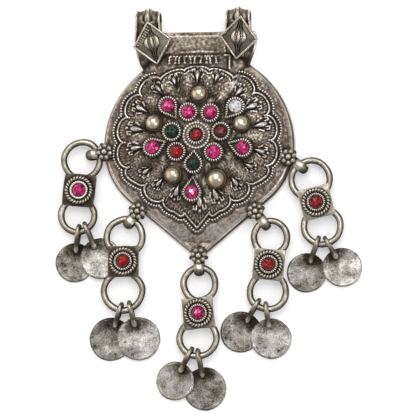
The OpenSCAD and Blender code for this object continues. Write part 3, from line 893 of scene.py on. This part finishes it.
def square_plate(seed):
    """The square across the rings, its sides a little hollow and its edges rolled down"""
    bpy.ops.mesh.primitive_grid_add(x_subdivisions=32, y_subdivisions=32, size=SQUARE_W)
    item = bpy.context.object
    half = SQUARE_W / 2
    hollow = (-0.03, 0.03, 0.03, 0.035, 0.015)[seed]
    for v in item.data.vertices:
        u, w = v.co.x / half, v.co.y / half
        corner = 0.015 * u * u * w * w
        v.co.x *= 1 - hollow * (1 - w * w) - corner
        v.co.y *= 1 - hollow * (1 - u * u) - corner
        v.co.z = SQUARE_T - 0.3 * (abs(u) ** 6 + abs(w) ** 6)
    thick = item.modifiers.new("thickness", "SOLIDIFY")
    thick.thickness = 0.7
    thick.offset = -1
    applied(item)
    bevelled(item, 0.15, 50)
    worked(item, 2.6, 0.16, seed)

    # painted shade on the square round the rope's foot
    def shade_under_rope(q):
        return 0.5 * bump(np.hypot(q[:, 0], q[:, 1]) - 4.2, 1.1)

    return mark_wear_and_shade(item, 8, 3.0, (0.19, 0.28, 0.5, 0.56, 0.6)[seed], 0.0, shade_under_rope)


def rope(r, strand, turns):
    """A ring of two wires twisted together"""
    strands = []
    for shift in (0, pi):
        path = []
        for i in range(turns * 14):
            a = 2 * pi * i / (turns * 14)
            far, rise = on_arc(0.9 * strand, degrees(turns * a + shift), r)
            path.append((far * cos(a), far * sin(a), rise))
        strands.append(wire("strand", path, strand, True, 12))
    return joined("rope", strands)


def drop_cup(i):
    """The toothed bezel on the square; the first drop's is nearly smooth"""
    cup = toothed_setting(DROP_BEZEL_H, DROP_BEZEL_R, 0.0, 0.84, 0.4 if i == 0 else 0.9)
    cup.data.transform(Matrix.Translation((0, 0, SQUARE_T)))
    return cup


def drop_rope(strand):
    """The ring of twisted wire round the bezel"""
    # painted shade on the strands' lower sides and between them
    cord = mark_wear_and_shade(rope(4.6, strand, 13), 2, 1.5, 0.84, 1.6)
    cord.data.transform(Matrix.Translation((0, 0, SQUARE_T + 0.4)))
    return cord


def blank(r, seed, toward, bright):
    """A disc of thin silver, dented and pitted, with painted shade round its rim, and darker towards its
    hook
    """
    profile = [(0, 0.12), (r - 1.2, 0.03), (r - 0.35, 0.02), (r - 0.08, 0.18), (r, 0.42)]
    profile += [(r - 0.05, 0.68), (r - 0.3, 0.84), (r - 0.9, 0.88)]
    profile += [(r * f, 0.78 + 0.08 * f) for f in np.linspace(0.86, 0.04, 30)] + [(0, 0.78)]
    luck = random.Random(seed)
    dents = [(*on_arc(r * luck.uniform(0.15, 0.85), luck.uniform(0, 360)), luck.uniform(0.3, 1.3),
              luck.choice((-1, 1)) * luck.uniform(0.02, 0.06)) for _ in range(9)]

    def uneven(a, far):
        wave = noise.noise(Vector((cos(a), sin(a), seed * 3.3)) * 1.4)
        fine = noise.noise(Vector((cos(a), sin(a), seed * 1.9)) * 5)
        return far * (1 - 0.010 + 0.022 * wave + 0.008 * fine)

    plate = turned("blank", profile, 120, uneven)
    shift = Vector((seed * 3.0, 0, 0))
    for v in plate.data.vertices:
        if v.co.z > 0.5:
            v.co.z += 0.12 * noise.noise(v.co / 6.0 + shift) + 0.02 * noise.noise(v.co / 1.6 + shift)
            for dx, dy, wide, deep in dents:
                v.co.z += deep * exp(-((v.co.x - dx) ** 2 + (v.co.y - dy) ** 2) / wide ** 2)
    pits = [(*on_arc(r * luck.uniform(0.5, 0.93), luck.uniform(0, 360)), luck.uniform(0.25, 0.5))
            for _ in range(9)]

    def pits_and_rim_shade(q):
        x, y, z = q.T
        dark = np.zeros(len(q))
        for px, py, wide in pits:
            dark = np.maximum(dark, 0.32 * bump(np.hypot(x - px, y - py), wide))
        ahead = x * toward[0] + y * toward[1]
        aside = y * toward[0] - x * toward[1]
        # painted shade round the rim
        dark += 0.2 * step_up(np.hypot(x, y), r - 0.5, 0.5)
        return dark + 0.6 * step_up(ahead, r * 0.4, r * 0.7) * bump(aside, r * 0.6) * (z > 0.5)

    return mark_wear_and_shade(plate, 3, 1.5, bright, 0.0, pits_and_rim_shade)


def disc_and_hook(i, k):
    """A hanging disc and the hook that grips the ring; it may lean on the disc beside it"""
    drop, me, other = DROPS[i], DISCS[i][k], DISCS[i][1 - k]
    x, y, d, grip_turn, leans = me
    r = d / 2
    away = Vector((x - other[0], y - other[1]))
    away_turn = degrees(atan2(away.y, away.x))
    rise = (DISC_T + 0.3) / (r - other[2] / 2 + away.length) if leans else 0.0
    grip_at = on_arc(drop[5] / 2 - WIRE_R, grip_turn, drop[3], drop[4])
    reach = Vector((grip_at[0] - x, grip_at[1] - y))
    hook_turn = degrees(atan2(reach.y, reach.x))
    seed = i * 2 + k
    # a disc that leans on its neighbour is painted lighter, as painted light that its tilt catches
    plate = blank(r, seed, on_arc(1, hook_turn), 0.47 + 0.15 * leans)
    # the tilt turns about the line between the two discs
    tip = at(x, y, 0, away_turn) @ Matrix.Translation((r, 0, 0))
    lift = Matrix.Rotation(atan(rise), 4, "Y") @ Matrix.Translation((-r, 0, 0))
    plate.data.transform(tip @ lift @ Matrix.Rotation(radians(-away_turn), 4, "Z"))
    lean = cos(radians(hook_turn - away_turn))
    seats = [(r - inset, rise * (r - (r - inset) * lean) + DISC_T / 2) for inset in (1.2, 3.0)]
    bend = WIRE_R + HOOK_R + 0.35
    foot = (seats[0][0], max(seats[0][1], HOOK_R + 0.05))
    ball = (seats[1][0], max(seats[1][1] + 0.6, 1.15))
    grip = reach.length
    ax, az = ball[0] - grip, ball[1] - RING_Z
    tangent = 180 + degrees(atan2(-az, -ax)) - degrees(acos(bend / hypot(ax, az)))
    path = [foot, ((foot[0] + grip) / 2, (foot[1] + RING_Z - bend) / 2)]
    path += [on_arc(bend, a, grip, RING_Z) for a in np.linspace(-90, tangent, 26)]
    start = path[-1]
    path += [tuple(a + (b - a) * t for a, b in zip(start, ball)) for t in (0.25, 0.5, 0.75, 0.9)]
    path += [(ball[0] - 0.5, ball[1] - 0.15)]
    # the wire swells into a ball at its end
    swell = [0.82, 0.84, 0.86, 0.9, 1.0, 1.16, 1.26, 0.8]
    radii = [HOOK_R + 0.08] * (len(path) - len(swell)) + swell
    hook = wire("hook", [(u, 0, z) for u, z in path], radii, False, 14)
    worked(hook, 1.3, 0.16, seed)
    for v in hook.data.vertices:
        v.co.z = max(v.co.z, 0.06)

    # painted highlight on the ball at the wire's end, the rest a little darker; low adds painted shade
    # on the lower parts
    def ball_highlight(q):
        return 0.2 - 0.8 * bump(np.hypot(q[:, 0] - ball[0], q[:, 1]), 1.0)

    mark_wear_and_shade(hook, 1, 1.0, 0.95, 0.85, ball_highlight)
    hook.data.transform(at(x, y, 0, hook_turn))
    return plate, hook


# The stones

def cut_stone(r, seed):
    """A round cut stone: table, stars, kites, girdle and a low pavilion"""
    luck = random.Random(seed)
    points = [(0, 0, 1.7)]
    # corners, share of the radius, height, shift, and how unevenly they were cut
    for count, far, z, shift, lift in (
        (8, 0.5, 1.7, 0, 0.05), (8, 0.8, 1.44, 0.5, 0), (16, 1.0, 0.92, 0, 0), (16, 1.0, 0.5, 0, 0),
        (8, 0.42, 0.05, 0, 0),
    ):
        for i in range(count):
            points.append((*on_arc(r * far, 360 * (i + shift) / count), z + luck.uniform(-lift, lift)))
    table, star, top, foot, base = 1, 9, 17, 33, 49
    faces = []
    for i in range(8):
        j = (i + 1) % 8
        before, here, after, last = (2 * i - 1) % 16, 2 * i, 2 * i + 1, (2 * i + 2) % 16
        faces += [(0, table + i, table + j), (table + i, star + i, table + j),
                  (table + j, star + i, top + last, star + j)]
        faces += [(star + i, top + here, top + after), (star + i, top + after, top + last)]
        faces += [(top + here, foot + here, foot + after, top + after),
                  (top + after, foot + after, foot + last, top + last)]
        faces += [(foot + before, base + i, foot + here), (foot + here, base + i, foot + after),
                  (foot + after, base + i, base + j)]
    faces.append(tuple(reversed(range(base, base + 8))))
    item = face_outwards(from_faces("stone", points, faces))
    # painted light and shade: facets of the table lighter, facets towards the girdle darker, each chosen
    # at random
    tones = []
    for face in item.data.polygons:
        inside = face.center.xy.length < 0.55 * r
        tones.append(luck.choice((0.45, 0.6, 0.7, 0.8, 1.0) if inside else (0.05, 0.25, 0.45, 0.6, 0.7)))
    layer = item.data.attributes.new("tone", "FLOAT", "FACE")
    layer.data.foreach_set("value", tones)
    return item


def stone_place(row):
    """Where a set stone lies, from the row of its setting; the lowest one leans down the dome"""
    name, x, y, height, _, turn, _ = row
    lean = Matrix.Rotation(radians(LEAN if name == "drop_6" else 0), 4, "X")
    return at(x, y, dome_at(x, y) + height - SET_DEPTH + STONE_GAP) @ lean @ at(0, 0, 0, turn)


# Materials

def fill(tree, nodes, wires, **made):
    """Makes nodes by name, of a kind and with settings, and wires: giver.Output > taker.Input"""
    for name, (kind, settings) in nodes.items():
        made[name] = tree.nodes.new("ShaderNode" + kind)
        for key, value in settings.items():
            if isinstance(key, str) and hasattr(made[name], key):
                setattr(made[name], key, value)
            else:
                made[name].inputs[key].default_value = value
    for line in wires:
        (giver, out), (taker, into) = (end.split(".") for end in line.split(" > "))
        out, into = (int(end) if end.isdigit() else end for end in (out, into))
        tree.links.new(made[giver].outputs[out], made[taker].inputs[into])
    return made


def new_group(name, inputs, outputs, nodes, wires):
    """A shader node group with its sockets, nodes and wires"""
    group = bpy.data.node_groups.new(name, "ShaderNodeTree")
    for title, value in inputs.items():
        socket = group.interface.new_socket(name=title, in_out="INPUT", socket_type="NodeSocketFloat")
        socket.default_value = value
    for title, kind in outputs.items():
        group.interface.new_socket(name=title, in_out="OUTPUT", socket_type="NodeSocket" + kind)
    given, found = group.nodes.new("NodeGroupInput"), group.nodes.new("NodeGroupOutput")
    fill(group, nodes, wires, given=given, found=found)


def tarnish_and_shade_group():
    """How bright the metal is, from its wear and its painted shade: high places shine, hollows and
    shaded sides stay dark, cloudy between
    """
    new_group(
        "tarnish",
        {"Cloud Scale": 260.0, "Cloud": 0.5, "Speck": 0.3, "Lift": 0.0, "Gloss": 0.24},
        {"Shine": "Float", "Roughness": "Float"},
        {
            "place": ("TexCoord", {}),
            "wear": ("Attribute", {"attribute_name": "wear"}),
            "cloud": ("TexNoise", {"Detail": 4.0, "Roughness": 0.62}),
            "speck": ("TexNoise", {"Scale": 2300.0, "Detail": 2.0, "Roughness": 0.6}),
            "cloud_level": ("Math", {"operation": "SUBTRACT", 1: 0.5}),
            "speck_level": ("Math", {"operation": "SUBTRACT", 1: 0.5}),
            "clouded": ("Math", {"operation": "MULTIPLY_ADD"}),
            "specked": ("Math", {"operation": "MULTIPLY_ADD"}),
            "lifted": ("Math", {"operation": "ADD", "use_clamp": True}),
            "rough": ("MapRange", {"To Min": 0.62}),
        },
        ["place.Object > cloud.Vector", "given.Cloud Scale > cloud.Scale", "cloud.Fac > cloud_level.0",
         "place.Object > speck.Vector", "speck.Fac > speck_level.0",
         "cloud_level.0 > clouded.0", "given.Cloud > clouded.1", "wear.Fac > clouded.2",
         "speck_level.0 > specked.0", "given.Speck > specked.1", "clouded.0 > specked.2",
         "specked.0 > lifted.0", "given.Lift > lifted.1", "lifted.0 > found.Shine",
         "lifted.0 > rough.Value", "given.Gloss > rough.To Max", "rough.Result > found.Roughness"],
    )


def handwork_group():
    """The small unevenness of beaten and filed metal, as a normal"""
    new_group(
        "handwork",
        {"Dent Scale": 420.0, "Dent": 0.35, "Scratch": 0.15},
        {"Normal": "Vector"},
        {
            "place": ("TexCoord", {}),
            "dents": ("TexNoise", {"Detail": 3.0, "Roughness": 0.55}),
            "stretch": ("Mapping", {"Scale": (500, 3200, 900), "Rotation": (0, 0, 0.6)}),
            "scratches": ("TexNoise", {"Scale": 1.0, "Detail": 2.0}),
            "dented": ("Bump", {"Distance": 0.0003}),
            "scratched": ("Bump", {"Distance": 0.00004}),
        },
        ["place.Object > dents.Vector", "given.Dent Scale > dents.Scale",
         "place.Object > stretch.Vector", "stretch.Vector > scratches.Vector",
         "given.Dent > dented.Strength", "dents.Fac > dented.Height",
         "given.Scratch > scratched.Strength", "scratches.Fac > scratched.Height",
         "dented.Normal > scratched.Normal", "scratched.Normal > found.Normal"],
    )


def new_material(name, shader, nodes, wires, ramp):
    """A material of one shader, whose base colour comes from a ramp of places and colours"""
    material = bpy.data.materials.new(name)
    material.use_nodes = True
    tree = material.node_tree
    tree.nodes.clear()
    own = {"out": ("OutputMaterial", {}), "shader": ("BsdfPrincipled", shader), "ramp": ("ValToRGB", {})}
    wires = ["shader.BSDF > out.Surface", "ramp.Color > shader.Base Color", *wires]
    made = fill(tree, {**own, **nodes}, wires)
    bar = made["ramp"].color_ramp
    while len(bar.elements) < len(ramp):
        bar.elements.new(0.5)
    for element, (share, colour) in zip(bar.elements, ramp):
        element.position = share
        element.color = (*colour, 1)


def metal(name, tones, bright, cloud, dents, gloss):
    """Silver between tarnish and polish: tones run from the dark hollows and the painted shade to the
    bright edges
    """
    groups = bpy.data.node_groups
    tarnish = dict(zip(("Cloud Scale", "Cloud", "Speck", "Lift"), cloud))
    handwork = dict(zip(("Dent Scale", "Dent", "Scratch"), dents))
    new_material(
        name,
        {"Metallic": 1.0},
        {
            "tarnish": ("Group", {"node_tree": groups["tarnish"], **tarnish, "Gloss": gloss}),
            "handwork": ("Group", {"node_tree": groups["handwork"], **handwork}),
        },
        ["tarnish.Shine > ramp.Fac", "tarnish.Roughness > shader.Roughness",
         "handwork.Normal > shader.Normal"],
        [*tones, (1.0, bright)],
    )


def stone_material(name, deep, main, glint):
    """A cut stone over foil: facets are painted from deep shade over bright to a glint"""
    new_material(
        name,
        {"Metallic": 0.0, "Roughness": 0.04, "IOR": 1.5, "Transmission Weight": 0.2},
        {"tone": ("Attribute", {"attribute_name": "tone"})},
        ["tone.Fac > ramp.Fac"],
        [(0.0, deep), (0.65, main), (1.0, glint)],
    )


# Each metal's tones below the brightest, with their places; the scale, strength, speck and lift
# of its clouds; the scale and depth of its dents and its scratches; its gloss
METALS = {
    "chased_silver": (
        [(0.0, (0.030, 0.025, 0.021)), (0.38, (0.14, 0.115, 0.089)), (0.62, (0.415, 0.36, 0.298))],
        (170.0, 0.55, 0.4, -0.02), (380.0, 0.5, 0.2), 0.24),
    "polished_silver": (
        [(0.0, (0.07, 0.048, 0.026)), (0.45, (0.36, 0.28, 0.17)), (0.75, (0.68, 0.60, 0.44))],
        (190.0, 0.75, 0.2, -0.08), (300.0, 0.2, 0.1), 0.2),
    "wire_silver": (
        [(0.0, (0.020, 0.015, 0.011)), (0.35, (0.085, 0.07, 0.052)), (0.7, (0.33, 0.30, 0.245))],
        (330.0, 0.5, 0.25, -0.03), (520.0, 0.3, 0.2), 0.28),
    "toothed_silver": (
        [(0.0, (0.025, 0.02, 0.014)), (0.4, (0.20, 0.17, 0.13)), (0.7, (0.74, 0.70, 0.60))],
        (420.0, 0.2, 0.2, 0.1), (600.0, 0.15, 0.1), 0.42),
    "strap_silver": (
        [(0.0, (0.014, 0.012, 0.010)), (0.4, (0.12, 0.105, 0.08)), (0.75, (0.50, 0.45, 0.36))],
        (300.0, 0.5, 0.35, -0.03), (500.0, 0.4, 0.2), 0.24),
    "beaten_silver": (
        [(0.0, (0.032, 0.027, 0.02)), (0.3, (0.15, 0.135, 0.11)), (0.55, (0.35, 0.33, 0.295)),
         (0.8, (0.58, 0.565, 0.525))],
        (260.0, 1.25, 1.0, -0.04), (900.0, 0.16, 0.6), 0.2),
}
# Each stone's painted deep shade and its painted glint
CUTS = {
    "cut_pink": ((0.10, 0.001, 0.024), (1.0, 0.36, 0.58)),
    "cut_crimson": ((0.03, 0.001, 0.001), (0.90, 0.06, 0.04)),
    "cut_dark_red": ((0.012, 0.001, 0.001), (0.6, 0.02, 0.015)),
    "cut_green": ((0.0005, 0.0015, 0.001), (0.015, 0.11, 0.04)),
    "cut_clear": ((0.16, 0.165, 0.18), (1.0, 1.0, 1.0)),
}


# Add-on

def length(name, description, default, precision=5):
    """The property of a length, its default in millimetres"""
    return FloatProperty(name=name, description=description, default=default * MM, min=0.1 * MM,
                         unit="LENGTH", precision=precision)


def colour(name, description, default):
    """The property of a colour"""
    return FloatVectorProperty(name=name, description=description, default=default,
                               subtype="COLOR", min=0.0, max=1.0)


class AmuletSizes(bpy.types.PropertyGroup):
    """Sizes that a user would change"""
    stone_radius: length("Stone radius", "Radius of the stones on the plate, at the girdle", 2.4)
    teeth_pitch: length("Teeth pitch", "Distance between the teeth of the settings", 1.0)
    bead_radius: length("Bead radius", "Radius of the beads along the scallops", 0.46)
    grain_radius: length("Grain radius", "Radius of the grains of the rosettes", 0.95)
    rope_wire: length("Rope wire", "Radius of each of the two wires of the ropes", 0.48)
    camera_height: length("Camera height", "Distance of the camera from the pendant", 1000, 3)
    view_width: length("View width", "Width of the picture at the pendant", 154.4, 4)
    key_power: FloatProperty(
        name="Key light", description="Power of the soft light above the head of the pendant",
        default=7.4, min=0.0, max=500.0, unit="POWER")


class AmuletColours(bpy.types.PropertyGroup):
    """Colours that a user would change: each silver where it is rubbed bright, and each stone"""
    chased_silver: colour("Plate", "Silver of the chased plate", (0.81, 0.78, 0.73))
    polished_silver: colour("Bosses", "Silver of the polished bosses", (0.94, 0.89, 0.76))
    wire_silver: colour("Wire", "Silver of the rings, squares, ropes and grains", (0.72, 0.68, 0.585))
    toothed_silver: colour("Settings", "Silver of the toothed settings", (0.97, 0.94, 0.86))
    strap_silver: colour("Straps", "Silver of the bails and the hooks", (0.78, 0.73, 0.61))
    beaten_silver: colour("Discs", "Silver of the hanging discs", (0.80, 0.79, 0.76))
    cut_pink: colour("Pink", "Pink stones", (0.74, 0.010, 0.20))
    cut_crimson: colour("Crimson", "Crimson stones", (0.34, 0.005, 0.005))
    cut_dark_red: colour("Dark red", "The dark red stone", (0.17, 0.005, 0.004))
    cut_green: colour("Green", "Dark green stones", (0.002, 0.018, 0.006))
    cut_clear: colour("Clear", "The clear stone", (0.90, 0.93, 0.96))


class AMULET_OT_finishes(bpy.types.Operator):
    """Every finish of the pendant and of its ground"""
    bl_idname = "amulet.finishes"
    bl_label = "Finishes"

    def execute(self, context):
        colours = context.scene.amulet_colours
        tarnish_and_shade_group()
        handwork_group()
        for name, (tones, cloud, dents, gloss) in METALS.items():
            metal(name, tones, getattr(colours, name), cloud, dents, gloss)
        for name, (deep, glint) in CUTS.items():
            stone_material(name, deep, getattr(colours, name), glint)
        ground = bpy.data.materials.new("white_ground")
        ground.use_nodes = True
        inputs = ground.node_tree.nodes["Principled BSDF"].inputs
        inputs["Base Color"].default_value = (0.98, 0.98, 0.98, 1)
        inputs["Roughness"].default_value = 0.9
        inputs["Specular IOR Level"].default_value = 0.0
        inputs["Emission Color"].default_value = (1, 1, 1, 1)
        inputs["Emission Strength"].default_value = 0.3
        return {"FINISHED"}


class AMULET_OT_plate(bpy.types.Operator):
    """Chased plate with its beaded scallops and polished bosses"""
    bl_idname = "amulet.plate"
    bl_label = "Plate"

    def execute(self, context):
        plate = mark_wear_and_shade(plate_mesh(), 7, 5.0, 0.38, 0.0, plate_tarnish_and_shade)
        deliver(plate, "plate", "chased_silver", ["body"], 60)
        beads = scallop_beads(context.scene.amulet.bead_radius / MM)
        deliver(mark_wear_and_shade(beads, 2, 3.0, 0.68), "scallop_beads", "chased_silver")
        for k, row in enumerate(BOSSES):
            item, place = boss(*row)
            # painted shade on the lower part of the ball and its collar
            mark_wear_and_shade(worked(item, 2.4, 0.12, k), 3, 1.0, 1.0, 0.8)
            deliver(item, f"boss_{k + 1}", "polished_silver", place=place)
        return {"FINISHED"}


class AMULET_OT_settings(bpy.types.Operator):
    """Toothed settings of the plate and the collar of the middle one"""
    bl_idname = "amulet.settings"
    bl_label = "Settings"

    def execute(self, context):
        pitch = context.scene.amulet.teeth_pitch / MM
        for name, x, y, height, reach, turn, _ in SETS:
            cup = worked(toothed_setting(height + SUNK, BEZEL_R, reach, pitch), 1.8, 0.1, x)
            place = at(x, y, dome_at(x, y) - SUNK, turn)
            deliver(cup, "setting_" + name, "toothed_silver", place=place)
        deliver(centre_collar(), "centre_collar", "toothed_silver")
        return {"FINISHED"}


class AMULET_OT_stones(bpy.types.Operator):
    """Cut stones of the plate and of the drops"""
    bl_idname = "amulet.stones"
    bl_label = "Stones"

    def execute(self, context):
        radius = context.scene.amulet.stone_radius / MM
        for k, row in enumerate(SETS):
            name, tint = row[0], row[6]
            stone = cut_stone(radius * (SMALL if name in SMALL_STONES else 1.0), k)
            deliver(stone, "cut_stone_" + name, "cut_" + tint, ["stone_" + name], FACETED,
                    stone_place(row))
        lift = Matrix.Translation((0, 0, SQUARE_T + DROP_BEZEL_H - SET_DEPTH + STONE_GAP))
        for k, (side, tint) in enumerate(zip(SIDES, DROP_STONES)):
            gem = cut_stone(radius - 0.1, 20 + k)
            deliver(gem, "cut_gem_" + side, "cut_" + tint, ["gem_" + side], FACETED,
                    square_place(DROPS[k]) @ lift)
        return {"FINISHED"}


class AMULET_OT_carriers(bpy.types.Operator):
    """Rosettes of grains and the strap loops that carry the drops"""
    bl_idname = "amulet.carriers"
    bl_label = "Rosettes and loops"

    def execute(self, context):
        radius = context.scene.amulet.grain_radius / MM
        for i, side in enumerate(SIDES):
            deliver(rosette(i, radius), "rosette_" + side, "wire_silver")
            deliver(worked(loop_strap(i), 1.6, 0.12, i), "loop_" + side, "wire_silver")
        return {"FINISHED"}


class AMULET_OT_bails(bpy.types.Operator):
    """The two strap bails and their lozenges"""
    bl_idname = "amulet.bails"
    bl_label = "Bails"

    def execute(self, context):
        for k, row in enumerate(BAILS):
            side, x, gem_x, _, w, l, _ = row
            strap = worked(mark_wear_and_shade(bail_strap(x, gem_x), 10, 5.0, 0.34), 3.0, 0.05, k)
            deliver(strap, "strap_" + side, "strap_silver", ["bail_" + side], 45)
            lozenge = worked(diamond(side, w, l), 2.5, 0.08, k)
            deliver(lozenge, "lozenge_" + side, "strap_silver", place=diamond_place(row))
        return {"FINISHED"}


class AMULET_OT_links(bpy.types.Operator):
    """The rings, squares, ropes and settings of the drops"""
    bl_idname = "amulet.links"
    bl_label = "Links"

    def execute(self, context):
        strand = context.scene.amulet.rope_wire / MM
        for i, (side, drop) in enumerate(zip(SIDES, DROPS)):
            rings = joined("rings", [ring(*drop[:3], i), ring(*drop[3:6], i + 9)])
            deliver(rings, "rings_" + side, "wire_silver", ["link_" + side])
            place = square_place(drop)
            deliver(square_plate(i), "square_" + side, "wire_silver", smooth=50, place=place)
            deliver(drop_cup(i), "bezel_" + side, "toothed_silver", place=place)
            deliver(drop_rope(strand), "rope_" + side, "wire_silver", place=place)
        return {"FINISHED"}


class AMULET_OT_discs(bpy.types.Operator):
    """The hanging discs and their hooks"""
    bl_idname = "amulet.discs"
    bl_label = "Discs"

    def execute(self, context):
        for i, side in enumerate(SIDES):
            for k in range(2):
                name = f"{side}_{k + 1}"
                plate, hook = disc_and_hook(i, k)
                deliver(plate, "blank_" + name, "beaten_silver", ["disc_" + name], 45)
                deliver(hook, "hook_" + name, "strap_silver")
        return {"FINISHED"}


class AMULET_OT_stage(bpy.types.Operator):
    """White ground, soft light and the camera of the photograph's angle"""
    bl_idname = "amulet.stage"
    bl_label = "Stage"

    def execute(self, context):
        scene = context.scene
        sizes = scene.amulet
        only()
        bpy.ops.mesh.primitive_plane_add(size=3.0)
        ground = context.object
        ground.name = "ground"
        ground.data.materials.append(bpy.data.materials["white_ground"])
        world = bpy.data.worlds.new("studio")
        world.use_nodes = True
        sky = world.node_tree.nodes["Background"].inputs
        sky["Color"].default_value = (0.95, 0.96, 1.0, 1)
        sky["Strength"].default_value = 0.43
        scene.world = world
        back = Vector((CAMERA_SIDE, -CAMERA_SIDE, 1)).normalized()
        # the lowest stone's table mirrors a small lamp into the camera
        table = stone_place(SETS[-1])
        facing = (table.to_3x3() @ Vector((0, 0, 1))).normalized()
        glint = table.translation * MM + 2 * facing.dot(back) * facing - back
        # place, width, height, share of the key's power, colour
        lights = {
            "glint": (glint, 0.07, 0.07, 0.05, (1.0, 1.0, 1.0)),
            "head": ((0.0, 0.62, 1.05), 1.2, 0.9, 0.9, (1.0, 0.99, 0.97)),
            "top": ((0.30, 0.17, 1.15), 0.42, 0.42, 0.12, (1.0, 1.0, 1.0)),
            "side": ((0.74, -0.32, 0.69), 0.32, 0.32, 0.2, (1.0, 0.98, 0.95)),
            "warm": ((-0.75, 0.0, 0.35), 0.9, 0.6, 0.2, (1.0, 0.80, 0.58)),
        }
        for name, (place, width, height, share, tint) in lights.items():
            data = bpy.data.lights.new(name, "AREA")
            data.shape = "RECTANGLE"
            data.size, data.size_y = width, height
            data.energy = sizes.key_power * share
            data.color = tint
            lamp = linked(name, data)
            lamp.location = place
            lamp.rotation_euler = (AIM - Vector(place)).to_track_quat("-Z", "Y").to_euler()
        data = bpy.data.cameras.new("camera")
        data.sensor_width = SENSOR
        data.lens = SENSOR * sizes.camera_height / sizes.view_width
        data.clip_end = 10
        camera = linked("camera", data)
        right = Vector((1, 0, -CAMERA_SIDE)).normalized()
        turn = Matrix((right, back.cross(right), back)).transposed().to_4x4()
        camera.matrix_world = Matrix.Translation(AIM + back * sizes.camera_height) @ turn
        scene.camera = camera
        scene.view_settings.view_transform = "Standard"
        return {"FINISHED"}


STEPS = [AMULET_OT_finishes, AMULET_OT_plate, AMULET_OT_settings, AMULET_OT_stones, AMULET_OT_carriers,
         AMULET_OT_bails, AMULET_OT_links, AMULET_OT_discs, AMULET_OT_stage]


class AMULET_PT_panel(bpy.types.Panel):
    """The sizes, the colours and the steps of the pendant, in order"""
    bl_label = "Amulet"
    bl_idname = "AMULET_PT_panel"
    bl_space_type = "VIEW_3D"
    bl_region_type = "UI"
    bl_category = "Amulet"

    def draw(self, context):
        for group in (context.scene.amulet, context.scene.amulet_colours):
            for name in type(group).__annotations__:
                self.layout.prop(group, name)
        for step in STEPS:
            self.layout.operator(step.bl_idname)


CLASSES = [AmuletSizes, AmuletColours, *STEPS, AMULET_PT_panel]


def register():
    for item in CLASSES:
        bpy.utils.register_class(item)
    bpy.types.Scene.amulet = PointerProperty(type=AmuletSizes)
    bpy.types.Scene.amulet_colours = PointerProperty(type=AmuletColours)


def unregister():
    del bpy.types.Scene.amulet_colours
    del bpy.types.Scene.amulet
    for item in reversed(CLASSES):
        bpy.utils.unregister_class(item)


def main():
    """Builds every piece"""
    register()
    bpy.ops.amulet.finishes()
    bpy.ops.amulet.plate()
    bpy.ops.amulet.settings()
    bpy.ops.amulet.stones()
    bpy.ops.amulet.carriers()
    bpy.ops.amulet.bails()
    bpy.ops.amulet.links()
    bpy.ops.amulet.discs()
    bpy.ops.amulet.stage()
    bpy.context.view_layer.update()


if __name__ == "__main__":
    main()
